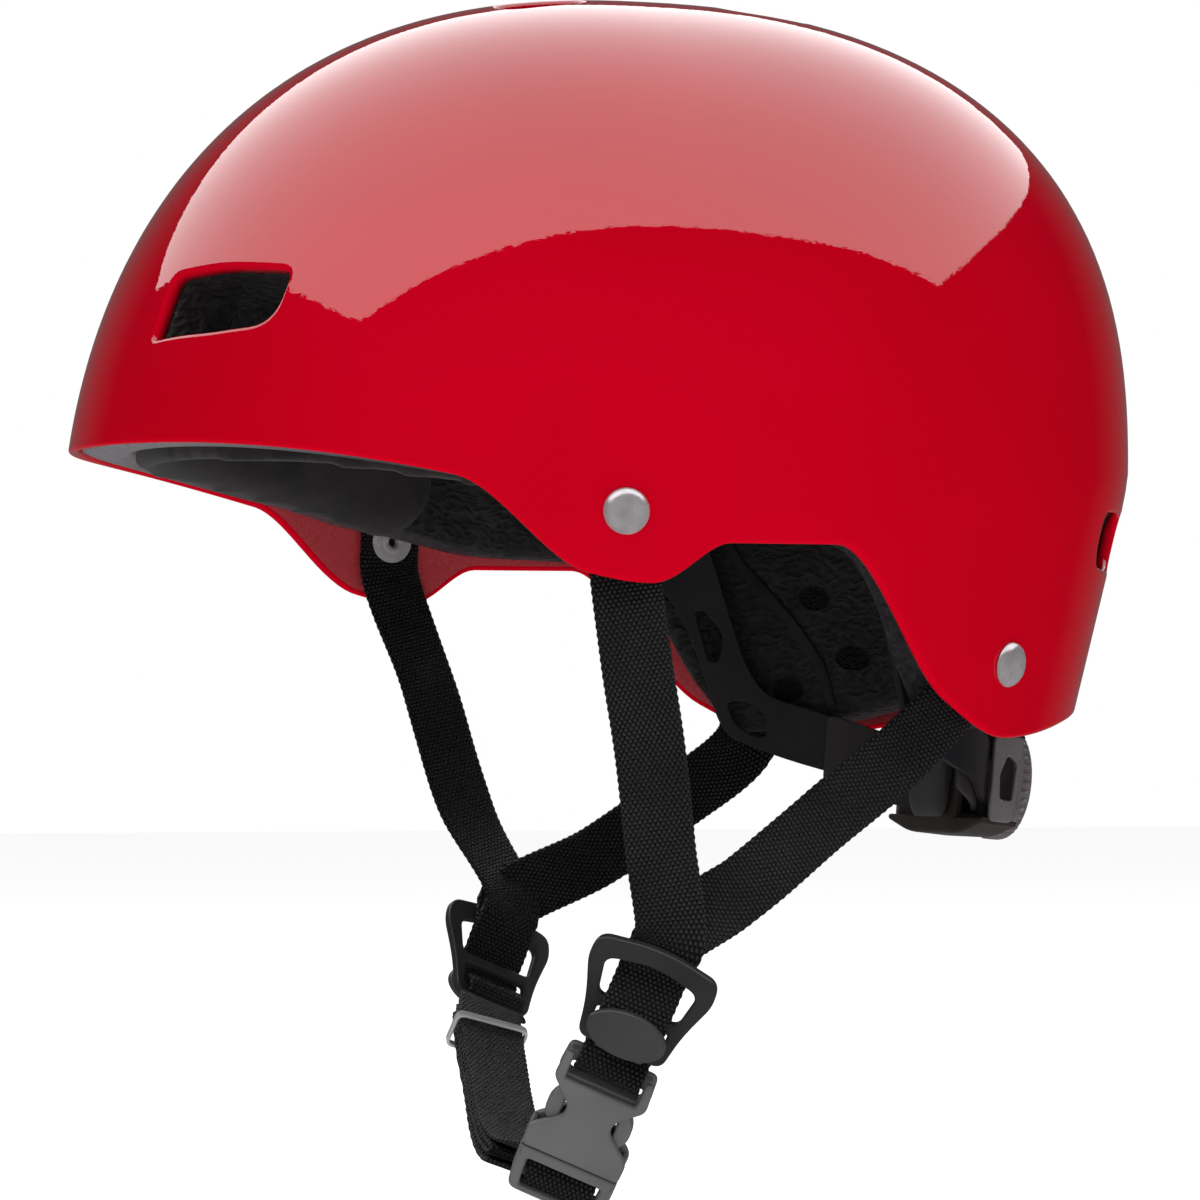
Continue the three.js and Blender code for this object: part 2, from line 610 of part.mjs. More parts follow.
function addDial() {
  const back = DIAL_FRONT + DIAL_THICK;
  const profile = [
    [0, DIAL_FRONT], [DIAL_RADIUS - 0.9, DIAL_FRONT], [DIAL_RADIUS - 0.4, DIAL_FRONT + 1],
    [DIAL_RADIUS - 1.2, back - 2], [DIAL_RADIUS - 3.6, back - 0.4], [5, back], [0, back],
  ];
  const knob = toSolid(turned(profile, 24).rotateX(-PI / 2));
  const rib = toSolid(block(-0.7, back - 5.4, DIAL_RADIUS - 4, 0.7, back - 0.9, DIAL_RADIUS));
  const ribs = Array.from({ length: DIAL_RIBS }, (_, i) =>
    rib.rotate([0, (i * 360) / DIAL_RIBS, 0]));
  const hub = spindle(HUB_RADIUS, DIAL_FRONT - HUB_LENGTH, DIAL_FRONT + 1);
  addPart("fit_dial", carried(join(knob, hub, ...ribs), CRADLE_FRAME), "dial");
  const gear = pinion(HOUSING_FRONT + 4.6, DIAL_FRONT - HUB_LENGTH - 0.4);
  addPart("drive_pinion", carried(gear, CRADLE_FRAME), "cradle");
}

// The small gear that draws both racks in; it turns on the housing's boss.
function pinion(y0, y1) {
  const shape = new THREE.Shape();
  const outer = PINION_RADIUS + 0.5;
  const root = PINION_RADIUS - 1.1;
  for (let i = 0; i < PINION_TEETH; i++) {
    const middle = (i * 2 * PI) / PINION_TEETH;
    const corner = (angle, r) => [r * sin(middle + angle), r * cos(middle + angle)];
    const points = [corner(-0.15, root), corner(-0.05, outer), corner(0.05, outer), corner(0.15, root)];
    points.forEach((q, j) => (i + j === 0 ? shape.moveTo(...q) : shape.lineTo(...q)));
  }
  shape.closePath();
  return cut(acrossY(shape, y0, y1), spindle(AXLE_RADIUS + GAP, ...THROUGH, 14));
}

// ---- Strap guides: plates in their own frame, +X across the webbing, +Y up, +Z outward ----
// The right-hand guide hangs differently, so it is drawn on the left and mirrored.
function guideFrame(origin, across, up) {
  const out = across.clone().cross(up).normalize();
  return facing(origin, out, up.clone().normalize());
}

const HARNESS = {
  left: {
    guide: guideFrame(v3(88, -14, -135), v3(0.28, 0.865, -0.41), v3(0.534, 0.2, 0.823)),
    front: [v3(102.5, -24, -58), v3(97, -18.5, -81), v3(92, -14, -106)],
    rear: [v3(83.5, 52, -83), v3(85, 33.5, -97), v3(86, 9, -116)],
    slant: [-0.85, -0.53], // the rear strap's way out from under its rivet
    lift: { front: 0, rear: 1.6 },
  },
  right: {
    guide: guideFrame(v3(80, -4, -131), v3(0.17, 0.93, -0.32), v3(0.53, 0.25, 0.81)),
    front: [v3(101, -24, -54), v3(88, -18, -77), v3(80, -13, -104)],
    rear: [v3(82, 69.5, -80), v3(83.5, 49, -96), v3(85, 27, -111)],
    slant: [-0.5, -0.87],
    lift: { front: 1.6, rear: 0 },
  },
};
const GUIDE_WALL = 2.4;
const LEVER_AXIS = [-23.6, 3.1]; // [y, z] in the guide's frame

function guideFramePlate() {
  const shape = rounded([
    [-17, -3, 4], [-16, 3, 4], [0, 6, 10], [16, 3, 4], [17, -3, 4],
    [13, -15, 5], [11.4, -25.5, 3], [-11.4, -25.5, 3], [-13, -15, 5],
  ].reverse());
  const windows = [
    [[-12.6, -2.2, 3], [0, 0.8, 6], [12.6, -2.2, 3], [10.8, -12.5, 2], [-10.8, -12.5, 2]],
    [[-9.8, -15.6, 1], [9.8, -15.6, 1], [9.6, -21.8, 1], [-9.6, -21.8, 1]],
  ];
  for (const corners of windows) shape.holes.push(rounded(corners, new THREE.Path()));
  const frame = toSolid(plate(shape, -GUIDE_WALL / 2, GUIDE_WALL / 2, 5));
  // Two lugs hold the lever's barrel.
  const lug = block(8.3, -24.8, 0, 9.9, -21.6, LEVER_AXIS[1] + 1.2);
  return join(frame, toSolid(lug), mirrored(toSolid(lug)));
}

function lockLever() {
  const disc = new THREE.Shape().absellipse(0, -17.6, 10.6, 6.4, 0, 2 * PI);
  const cap = toSolid(plate(disc, 4.9, 7.2, 9));
  const barrel = turned([[0, -7.8], [1.3, -7.8], [1.3, 7.8], [0, 7.8]], 10)
    .rotateY(PI / 2).translate(0, ...LEVER_AXIS);
  return join(cap, toSolid(barrel), toSolid(block(-6, -24, 3.2, 6, -21.6, 5.2)));
}

// A point of the guide's own frame, in the part's frame.
const inFrame = (frame, x, y, z) => v3(x, y, z).applyMatrix4(frame);

function addGuides() {
  for (const [side, turn] of SIDES) {
    const { guide } = HARNESS[side];
    addPart(`${side}_strap_guide`, turn(carried(guideFramePlate(), guide)), "guide");
    addPart(`${side}_lock_lever`, turn(carried(lockLever(), guide)), "buckle");
  }
}

// ---- Side-release buckle, in its own frame: +Y towards the guide, +Z outward ----
const BUCKLE_FRAME = HARNESS.left.guide.clone().multiply(new THREE.Matrix4().makeTranslation(0, -30.2, -1));
const SOCKET_LENGTH = 30;
const BUCKLE_HALF = 4; // half its thickness
const SLOT_HALF = 9.7; // half the width of a webbing slot
const PLUG_SLOT_HALF = 10.7; // wider than the socket's slot, because the strap swings in it
const STRAP_WINDOW = -SOCKET_LENGTH - 6.4; // middle of the plug's webbing window
const LATCH_HALF = 11.2; // half-width over the two prongs' catches

// A closed outline that is the same on both sides; corners are given for the right half, upwards.
const twoSided = (half) => rounded([...half, ...half.map(([x, y, r]) => [-x, y, r]).reverse()]);

function buckleSocket() {
  const outline = twoSided([
    [13.3, -SOCKET_LENGTH, 1.5], [13.5, -24, 2], [9.4, -20.5, 2], [6.3, -17.5, 2],
    [6.3, -14.5, 2], [10, -10.5, 2], [12.6, -8, 2], [12, 0, 2],
  ]);
  const body = toSolid(plate(outline, -BUCKLE_HALF, BUCKLE_HALF, 3));
  const cavity = block(-LATCH_HALF - 0.5, -SOCKET_LENGTH - 1, -2.5, LATCH_HALF + 0.5, -9.5, 2.5);
  const slot = block(-SLOT_HALF, -7.4, -6, SLOT_HALF, -3.4, 6);
  const recess = block(-SLOT_HALF, -4, 1.2, SLOT_HALF, 1, 6);
  return cut(body, toSolid(cavity), toSolid(slot), toSolid(recess));
}

// The plug's head carries the other half of the chin strap; its tongue runs up the middle.
function bucklePlug() {
  const top = -SOCKET_LENGTH - GAP;
  const outline = twoSided([[12.2, top - 13, 2.5], [13.3, top - 5, 2], [13.3, top, 0.5]]);
  const head = toSolid(plate(outline, -BUCKLE_HALF, BUCKLE_HALF, 3));
  const window = block(-PLUG_SLOT_HALF, STRAP_WINDOW - 2, -6, PLUG_SLOT_HALF, STRAP_WINDOW + 2.7, 6);
  // The bar below the window is thinned on both faces, so that the webbing can swing on it.
  const bar = 1.4;
  const outside = block(-PLUG_SLOT_HALF, STRAP_WINDOW - 9, bar, PLUG_SLOT_HALF, STRAP_WINDOW, 6);
  const inside = block(-PLUG_SLOT_HALF, STRAP_WINDOW - 9, -6, PLUG_SLOT_HALF, STRAP_WINDOW, -bar);
  const tongue = block(-2, top - 1, -2, 2, -11, 2);
  return join(cut(head, toSolid(window), toSolid(outside), toSolid(inside)), toSolid(tongue));
}

// One springy prong, with the catch that shows in the socket's side window.
function buckleProng() {
  const outline = rounded([
    [6, -SOCKET_LENGTH, 0.8], [8.6, -SOCKET_LENGTH, 0.8], [9, -22.5, 2], [LATCH_HALF, -19.5, 1.5],
    [LATCH_HALF, -15, 2], [8.9, -10.8, 1.5], [7, -11.4, 1], [7.2, -20, 2],
  ]);
  return toSolid(plate(outline, -2.1, 2.1, 3));
}

function addBuckle() {
  const place = (solid) => carried(solid, BUCKLE_FRAME);
  addPart("buckle_socket", place(buckleSocket()), "buckle");
  addPart("buckle_plug", place(bucklePlug()), "buckle");
  // The prong on the frame's +X side is the rear one.
  addPart("rear_prong", place(buckleProng()), "buckle");
  addPart("front_prong", place(mirrored(buckleProng())), "buckle");
}

// ---- Webbing ----
const spread = (points, across) => points.map((at) => ({ at, across }));

// The way through a guide: behind its top bar and over its middle bar.
function throughGuide(guide, lift, more = []) {
  const across = v3().setFromMatrixColumn(guide, 0);
  const path = [
    [0.5, 7, -3.2 - 1.5 * lift], [0, -1.2, -2.6 - 1.2 * lift], [0, -7, 0.6 - 1.1 * lift],
    [0, -12.2, 3.65 - lift], [0, -16.2, 3.65 - lift], ...more,
  ];
  return spread(path.map((p) => inFrame(guide, ...p)), across);
}

// Stations on the flat under a rivet; `heading` is the strap's direction in the wall's own frame.
function underRivet([y, z], heading, shares) {
  const frame = onWall(y, z, WEB_SEAT + WEB_THICK / 2);
  const at = shares.map((share) => inFrame(frame, heading[0] * share, heading[1] * share, 0));
  return spread(at, v3(-heading[1], heading[0], 0).transformDirection(frame));
}

function rivetHole(at) {
  const radius = RIVET_SHANK + GAP;
  return toSolid(turned([[0, -9], [radius, -9], [radius, 2], [0, 2]], 12), onWall(...at));
}

function addHarness() {
  // The front strap runs on through the guide's lower window; on the left it ends in the socket.
  const underLower = [[0, -18.4, 1.8], [0, -20, -1.5], [0, -22.4, -3.3], [0, -25.6, -3]];
  const onwards = {
    left: [...underLower, [0, -28.6, 0.8], [0, -30.8, 1.6], [0, -33, 1.6], [0, -35.6, -1.4]],
    right: underLower,
  };
  for (const [side, turn] of SIDES) {
    const { guide, front, rear, slant, lift } = HARNESS[side];
    const frameX = v3().setFromMatrixColumn(guide, 0);
    const frontLine = [
      ...underRivet(RIVETS.front, [0, -1], [-8.5, 0, 9]),
      ...spread(front, v3(0.15, 0.95, -0.2)),
      ...throughGuide(guide, lift.front, onwards[side]),
    ];
    const rearStart = underRivet(RIVETS.rear, slant, [-8.5, 0, 9]);
    const rearLine = [
      ...rearStart,
      ...spread(rear, rearStart[0].across.clone().lerp(frameX, 0.4)),
      ...throughGuide(guide, lift.rear),
    ];
    const frontStrap = cut(toSolid(webbing(frontLine, 36)), rivetHole(RIVETS.front));
    const rearStrap = cut(toSolid(webbing(rearLine, 30)), rivetHole(RIVETS.rear));
    addPart(`${side}_front_strap`, turn(frontStrap), "web");
    addPart(`${side}_rear_strap`, turn(rearStrap), "web");
  }
  addChinStrap();
}

const SPARE_THICK = 5.8; // of the spare end, folded up under the strap
const KEEPER_SHARE = 0.27; // the band's place along the chin strap

// The right half of the chin strap, its folded spare end, and the band that holds them together.
function addChinStrap() {
  const { guide } = HARNESS.right;
  const mirror = new THREE.Vector3(-1, 1, 1);
  const start = inFrame(guide, 0, -29, -3.6).multiply(mirror);
  const startAcross = v3().setFromMatrixColumn(guide, 0).multiply(mirror);
  const endAcross = v3().setFromMatrixColumn(BUCKLE_FRAME, 0);
  const line = [
    { at: start, across: startAcross },
    ...spread([v3(-48, -16, -151), v3(-15, -23, -170), v3(17, -27.5, -184)], endAcross),
    { at: inFrame(BUCKLE_FRAME, 0, STRAP_WINDOW, -7), across: endAcross },
    { at: inFrame(BUCKLE_FRAME, 0, STRAP_WINDOW, 0.5), across: endAcross },
  ];
  addPart("right_chin_strap", toSolid(webbing(line, 24)), "web");
  const lift = -(WEB_THICK + SPARE_THICK) / 2 - GAP;
  const spare = webbing(line, 14, { thick: SPARE_THICK, from: 0.1, to: 0.62, lift });
  addPart("spare_strap_end", toSolid(spare), "web");
  const inner = WEB_WIDTH / 2 + 0.8;
  const outer = inner + 1;
  const [low, high] = [lift - 4.2, 1.6];
  const ring = rectangle(-outer, low - 1, outer, high + 1, 1.5);
  const opening = [[-inner, low, 1], [inner, low, 1], [inner, high, 1], [-inner, high, 1]];
  ring.holes.push(rounded(opening, new THREE.Path()));
  addPart("strap_keeper", toSolid(plate(ring, -1.8, 1.8, 3), lineFrame(line, KEEPER_SHARE)), "keeper");
}

addShell();
addLiner();
addRivets();
addPads();
addCradle();
addGuides();
addBuckle();
addHarness();
export default helmet;
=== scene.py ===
"""A water-sports helmet: glossy shell, foam liner, pads, nape cradle, webbing, guides and buckle.

Lengths are in millimetres until put() makes a mesh of them in metres; the stage's lengths and
those inside materials are in metres. +Z is up, -Y is the front, +X is the wearer's left.
"""
import math
from contextlib import contextmanager

import bmesh
import bpy
import numpy as np
from mathutils import Matrix, Vector
from mathutils.geometry import delaunay_2d_cdt


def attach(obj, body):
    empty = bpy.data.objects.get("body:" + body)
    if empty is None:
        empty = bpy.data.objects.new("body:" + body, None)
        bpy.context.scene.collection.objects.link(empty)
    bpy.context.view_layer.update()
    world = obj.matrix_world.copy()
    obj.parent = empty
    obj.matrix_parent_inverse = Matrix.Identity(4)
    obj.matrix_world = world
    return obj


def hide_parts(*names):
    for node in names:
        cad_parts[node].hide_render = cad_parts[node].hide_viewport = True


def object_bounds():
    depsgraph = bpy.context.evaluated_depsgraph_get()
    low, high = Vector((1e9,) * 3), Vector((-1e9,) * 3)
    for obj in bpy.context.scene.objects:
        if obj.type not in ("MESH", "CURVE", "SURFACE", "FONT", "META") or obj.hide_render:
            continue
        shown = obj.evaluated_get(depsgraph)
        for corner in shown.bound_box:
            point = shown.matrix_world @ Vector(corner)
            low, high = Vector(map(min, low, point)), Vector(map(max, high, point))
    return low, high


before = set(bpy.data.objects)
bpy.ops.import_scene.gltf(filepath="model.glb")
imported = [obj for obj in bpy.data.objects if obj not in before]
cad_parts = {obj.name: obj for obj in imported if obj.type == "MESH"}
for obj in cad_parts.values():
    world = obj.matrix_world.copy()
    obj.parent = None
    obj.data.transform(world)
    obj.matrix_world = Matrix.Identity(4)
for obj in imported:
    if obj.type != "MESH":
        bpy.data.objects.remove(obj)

cad_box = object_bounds()
MM = 0.001
pi, rad = math.pi, math.radians

# ---- Driving dimensions, the same as the CAD's ----
FRONT, REAR, HALF_WIDTH, CROWN = 144.5, 143.5, 112.0, 117.5
PLAN_POWER = 2.1
SHELL_WALL = 2.5
FACET_GAP = 1.4
LINER_WALL = 15.0
LINER_OUT = SHELL_WALL + FACET_GAP
LINER_IN = LINER_OUT + LINER_WALL
WEB_WIDTH = 18.0
WEB_THICK = 1.35
WEB_SEAT = SHELL_WALL + 1.5
RIVETS = {"front": (-29.0, -22.2), "rear": (82.0, -59.0)}
# The wearer's two sides, and whether a side mirrors what is drawn for the left.
SIDES = (("left", False), ("right", True))


# ---- Vectors and frames ----
def unit(v):
    return v / np.linalg.norm(v, axis=-1, keepdims=True)


def run(path):
    """The distance along a path at each of its points."""
    return np.r_[0, np.cumsum(np.linalg.norm(np.diff(path, axis=0), axis=1))]


def axes(x, y, z, origin=(0, 0, 0)):
    """A frame from its three axes and its origin."""
    m = np.eye(4)
    m[:3] = np.column_stack([x, y, z, origin])
    return m


def moved(m, step):
    """The frame after a step along its own axes."""
    return m @ axes(*np.eye(3), step)


def facing(origin, out, up=(0, 0, 1)):
    """A frame whose +Z is `out` and whose +Y is as near `up` as it can be."""
    x = unit(np.cross(up, out))
    return axes(x, np.cross(out, x), out, origin)


def place(m, points):
    """Points given in a frame, in the helmet's own axes."""
    points = np.atleast_2d(np.asarray(points, float))
    return points @ m[:3, :3].T + m[:3, 3]


# ---- The shell's surface ----
def around(phi, front, side, rear):
    s = np.sin(phi)
    return side * (1 - s * s) + s * s * np.where(s > 0, rear, front)


def plan_radius(phi, inset):
    length = np.where(np.sin(phi) > 0, REAR, FRONT) - inset
    x = np.abs(np.cos(phi) / (HALF_WIDTH - inset)) ** PLAN_POWER
    y = np.abs(np.sin(phi) / length) ** PLAN_POWER
    return (x + y) ** (-1 / PLAN_POWER)


def widest(phi):
    return around(phi, -45, -22, -4)


def dome_power(phi):
    return around(phi, 2.33, 2.3, 2.5)


def radius_at(phi, z, inset):
    base = widest(phi)
    rise = np.clip((z - base) / (CROWN - inset - base), 0, 1)
    power = dome_power(phi)
    dome = np.maximum(1 - rise**power, 0) ** (1 / power)
    below = np.maximum(base - z, 0)
    turn = 6
    tuck = around(phi, 0.05, 0.1, 0.26) * (np.sqrt(below**2 + turn**2) - turn)
    return plan_radius(phi, inset) * dome - tuck


def surface(phi, z, inset=0.0):
    phi, z = np.broadcast_arrays(np.asarray(phi, float), np.asarray(z, float))
    r = radius_at(phi, z, inset)
    return np.stack([r * np.cos(phi), r * np.sin(phi), z], -1)


def azimuth_of(y, z, inset=0.0):
    """The azimuth on the left side at which the surface has the given y."""
    low, high = -pi / 2, pi / 2
    for _ in range(40):
        mid = (low + high) / 2
        if surface(mid, z, inset)[1] < y:
            low = mid
        else:
            high = mid
    return (low + high) / 2


def outward(phi, z):
    """The surface's unit normal."""
    step = 0.01
    along = surface(phi + step, z) - surface(phi - step, z)
    up = surface(phi, z + 1) - surface(phi, z - 1)
    return unit(np.cross(along, up))


def on_wall(y, z, depth=0.0):
    """A frame on the left wall that faces out, `depth` below the surface."""
    phi = azimuth_of(y, z)
    out = outward(phi, z)
    return facing(surface(phi, z) - out * depth, out)


# ---- Rim lines: height of the lower edge against distance front to back ----
SHELL_RIM = [(-145, -2), (-70, -12), (-38, -36), (-22, -38.5), (-2, -28.5),
             (27, -28.5), (62, -67), (84, -76.5), (119, -70.5), (145, -64)]
LINER_RIM = [(-145, -1.4), (-70, -11), (-40, -18), (-4, -24), (27, -25.5), (45, -31), (56, -44),
             (66, -61), (79, -74), (100, -71.5), (119, -66), (145, -60)]


def line_height(line, y):
    """A monotone cubic through the line's points."""
    xs, zs = np.array(line, float).T
    steps = np.diff(zs) / np.diff(xs)
    tangent = np.zeros(len(xs))
    for i in range(1, len(xs) - 1):
        a, b = steps[i - 1], steps[i]
        tangent[i] = 0 if a * b <= 0 else 2 * a * b / (a + b)
    at = np.clip(y, xs[0], xs[-1])
    i = np.clip(np.searchsorted(xs, at, side="right") - 1, 0, len(xs) - 2)
    width = xs[i + 1] - xs[i]
    t = (at - xs[i]) / width
    a, b, m, n = zs[i], zs[i + 1], tangent[i] * width, tangent[i + 1] * width
    return (a * (2 * t**3 - 3 * t * t + 1) + m * (t**3 - 2 * t * t + t)
            + b * (3 * t * t - 2 * t**3) + n * (t**3 - t * t))


def rim_height(line, phi):
    phi = np.asarray(phi, float)
    z = np.full(phi.shape, -20.0)
    for _ in range(60):
        z = z + 0.6 * (line_height(line, radius_at(phi, z, 0) * np.sin(phi)) - z)
    return z


# ---- Outlines ----
def rounded(corners, segments=6):
    """A closed outline from (x, y, radius) corners, with rounded corners."""
    count = len(corners)
    out = []
    for i, (x, y, wanted) in enumerate(corners):
        p = np.array([x, y], float)
        before = np.array(corners[i - 1][:2], float) - p
        after = np.array(corners[(i + 1) % count][:2], float) - p
        lb, la = np.linalg.norm(before), np.linalg.norm(after)
        r = min(wanted, 0.49 * lb, 0.49 * la)
        a, b = p + before / lb * r, p + after / la * r
        for k in range(segments + 1):
            t = k / segments
            out.append((1 - t) ** 2 * a + 2 * t * (1 - t) * p + t * t * b)
    return np.array(out)


def even(outline, spacing):
    """The same closed outline with its points evenly spaced."""
    closed = np.vstack([outline, outline[:1]])
    lengths = run(closed)
    count = max(8, int(round(lengths[-1] / spacing)))
    at = np.linspace(0, lengths[-1], count, endpoint=False)
    return np.stack([np.interp(at, lengths, closed[:, k]) for k in range(closed.shape[1])], -1)


def rectangle(x0, y0, x1, y1, r):
    return [(x0, y0, r), (x1, y0, r), (x1, y1, r), (x0, y1, r)]


# ---- Mesh helpers ----
def link(obj):
    bpy.context.scene.collection.objects.link(obj)
    return obj


def put(name, verts, faces, material, body="helmet", mirror=False, uv=None):
    """A mesh object from millimetre vertices; `uv` gives one pair a vertex."""
    verts = np.array(verts, float)
    if mirror:
        verts = verts * (-1, 1, 1)
        faces = [tuple(reversed(f)) for f in faces]
    mesh = bpy.data.meshes.new(name)
    mesh.from_pydata((verts * MM).tolist(), [], [tuple(int(i) for i in f) for f in faces])
    mesh.validate()
    if uv is not None:
        layer = mesh.uv_layers.new(name="UVMap")
        flat = np.zeros(len(mesh.loops), dtype=np.int64)
        mesh.loops.foreach_get("vertex_index", flat)
        layer.data.foreach_set("uv", np.asarray(uv, float)[flat].astype(np.float32).ravel())
    obj = link(bpy.data.objects.new(name, mesh))
    for m in material if isinstance(material, (list, tuple)) else [material]:
        mesh.materials.append(m)
    smooth(obj)
    if body:
        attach(obj, body)
    return obj


@contextmanager
def edited(obj):
    """The object's mesh as a bmesh, written back at the end."""
    bm = bmesh.new()
    bm.from_mesh(obj.data)
    yield bm
    bm.to_mesh(obj.data)
    bm.free()


def smooth(obj, sharp=50):
    """Smooth shading, with edges sharper than `sharp` degrees kept crisp."""
    with edited(obj) as bm:
        for f in bm.faces:
            f.smooth = True
        for e in bm.edges:
            if len(e.link_faces) == 2:
                e.smooth = e.calc_face_angle(0) < rad(sharp)


def recalculated(obj):
    """The object, with its faces turned outwards."""
    with edited(obj) as bm:
        bmesh.ops.recalc_face_normals(bm, faces=bm.faces)
    return obj


def weighted(obj):
    """The object, with normals that keep flat faces flat beside rounded edges."""
    m = obj.modifiers.new("normals", "WEIGHTED_NORMAL")
    m.keep_sharp = True
    return obj


def tag(obj, node=None):
    """Hides the CAD node that the piece replaces, if there is one; the piece itself is not used."""
    if node:
        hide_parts(node)


def evaluated(obj):
    """A new mesh of what the object's curve or modifiers make."""
    bpy.context.view_layer.update()
    graph = bpy.context.evaluated_depsgraph_get()
    return bpy.data.meshes.new_from_object(obj.evaluated_get(graph), depsgraph=graph)


def settle(obj):
    """Applies an object's modifiers to its mesh."""
    mesh, old = evaluated(obj), obj.data
    obj.modifiers.clear()
    obj.data = mesh
    bpy.data.meshes.remove(old)


def slab(name, loops, low, high, bevel, matrix, material, body="helmet", mirror=False, steps=3):
    """A plate with drawn outlines and rounded edges; loops after the first are holes."""
    curve = bpy.data.curves.new(name + "_outline", "CURVE")
    curve.dimensions = "2D"
    curve.fill_mode = "BOTH"
    curve.extrude = max((high - low) / 2 - bevel, 1e-4)
    curve.bevel_depth = bevel
    curve.bevel_resolution = steps
    curve.offset = -bevel
    for loop in loops:
        spline = curve.splines.new("POLY")
        spline.points.add(len(loop) - 1)
        for point, (x, y) in zip(spline.points, loop):
            point.co = (x, y, 0, 1)
        spline.use_cyclic_u = True
    shape = link(bpy.data.objects.new(name + "_outline", curve))
    mesh = evaluated(shape)
    bpy.data.objects.remove(shape)
    bpy.data.curves.remove(curve)
    bm = bmesh.new()
    bm.from_mesh(mesh)
    bpy.data.meshes.remove(mesh)
    bmesh.ops.remove_doubles(bm, verts=bm.verts, dist=0.002)
    bmesh.ops.recalc_face_normals(bm, faces=bm.faces)
    bm.verts.index_update()
    flat = np.array([v.co for v in bm.verts]) + (0, 0, (low + high) / 2)
    faces = [[v.index for v in f.verts] for f in bm.faces]
    bm.free()
    return recalculated(put(name, place(matrix, flat), faces, material, body, mirror))


def grid_faces(rows, columns, wrap=False):
    """Quads over a grid of rows x columns vertices; `wrap` joins the last column to the first."""
    faces = []
    for i in range(0, (rows - 1) * columns, columns):
        for j in range(columns if wrap else columns - 1):
            k = (j + 1) % columns
            faces.append((i + j, i + k, i + columns + k, i + columns + j))
    return faces


def turned(name, pairs, matrix, material, body="helmet", mirror=False, segments=48, ripple=None):
    """A turned piece from (radius, height) pairs, with its axis along the frame's +Z."""
    angle = np.linspace(0, 2 * pi, segments, endpoint=False)
    verts = []
    for r, h in pairs:
        grown = r + (ripple(angle, r, h) if ripple else 0 * angle)
        verts.append(np.stack([grown * np.cos(angle), grown * np.sin(angle), np.full(segments, h)], -1))
    faces = grid_faces(len(pairs), segments, wrap=True)
    obj = put(name, place(matrix, np.concatenate(verts)), faces, material, body, mirror)
    with edited(obj) as bm:
        bmesh.ops.remove_doubles(bm, verts=bm.verts, dist=1e-6)
    smooth(recalculated(obj))
    return obj


# ---- Materials ----
class Nodes:
    """A node tree under construction; its methods return output sockets."""

    def __init__(self, owner):
        owner.use_nodes = True
        self.nodes = owner.node_tree.nodes
        self.links = owner.node_tree.links

    def node(self, kind, links=None, **settings):
        n = self.nodes.new("ShaderNode" + kind)
        for key, value in settings.items():
            setattr(n, key, value)
        for key, value in (links or {}).items():
            if isinstance(value, bpy.types.NodeSocket):
                self.links.new(value, n.inputs[key])
            else:
                n.inputs[key].default_value = value
        return n

    def span(self, value, low=0.0, high=1.0, start=0.0, end=1.0):
        """Takes start..end to low..high."""
        return self.node("MapRange", {0: value, 1: start, 2: end, 3: low, 4: high}).outputs[0]


class Surface(Nodes):
    """A material; its keywords set the shader's own inputs."""

    def __init__(self, name, **values):
        self.material = bpy.data.materials.new(name)
        super().__init__(self.material)
        self.shader = self.nodes["Principled BSDF"]
        for key, value in values.items():
            self.shader.inputs[key.replace("_", " ")].default_value = value

    def math(self, operation, a, b=0.0, c=0.0):
        return self.node("Math", {0: a, 1: b, 2: c}, operation=operation).outputs[0]

    def noise(self, scale, detail=2.0, rough=0.5):
        spot = self.node("TexCoord").outputs["Object"]
        links = {"Scale": scale, "Detail": detail, "Roughness": rough, "Vector": spot}
        return self.node("TexNoise", links).outputs[0]

    def cells(self, scale, feature, vector):
        n = self.node("TexVoronoi", {"Scale": scale, "Vector": vector}, feature=feature)
        return n.outputs["Distance"]

    def ramp(self, value, *stops):
        n = self.node("ValToRGB", {0: value})
        while len(n.color_ramp.elements) < len(stops):
            n.color_ramp.elements.new(0.5)
        for element, (at, colour) in zip(n.color_ramp.elements, stops):
            element.position = at
            element.color = (*colour, 1)
        return n.outputs[0]

    def tint(self, value, dark, light):
        """A base colour that goes from dark to light with the value."""
        self.wire(self.ramp(value, (0.3, dark), (0.7, light)), "Base Color")

    def blend(self, share, a, b):
        """A colour between two colours."""
        return self.node("Mix", {0: share, 6: a, 7: b}, data_type="RGBA").outputs[2]

    def bump(self, height, distance, strength=1.0, onto=None):
        links = {"Height": height, "Distance": distance, "Strength": strength}
        if onto is not None:
            links["Normal"] = onto
        return self.node("Bump", links).outputs[0]

    def wire(self, socket, key):
        self.links.new(socket, self.shader.inputs[key])


def paint():
    """Gloss shell: deep red under a slightly uneven clear skin."""
    s = Surface("shell_gloss", Roughness=0.4, Specular_IOR_Level=0.0, Coat_Weight=1.0, Coat_Roughness=0.02,
                Coat_IOR=1.55)
    drift = s.noise(14, 2)
    s.wire(s.ramp(drift, (0.35, (0.53, 0.0, 0.010)), (0.65, (0.575, 0.0, 0.013))), "Base Color")
    peel = s.noise(520, 2, 0.45)
    wave = s.bump(s.noise(60, 1), 0.0004, 0.05)
    s.wire(s.bump(peel, 0.0002, 0.06, wave), "Coat Normal")
    s.wire(s.bump(s.noise(900, 2), 0.0001, 0.1), "Normal")
    return s.material


def bare_shell():
    """The shell's unpolished inner side."""
    s = Surface("shell_inside", Roughness=0.55)
    speck = s.noise(1400, 3, 0.7)
    s.tint(speck, (0.36, 0.012, 0.02), (0.5, 0.045, 0.055))
    s.wire(s.bump(speck, 0.0002, 0.6), "Normal")
    return s.material


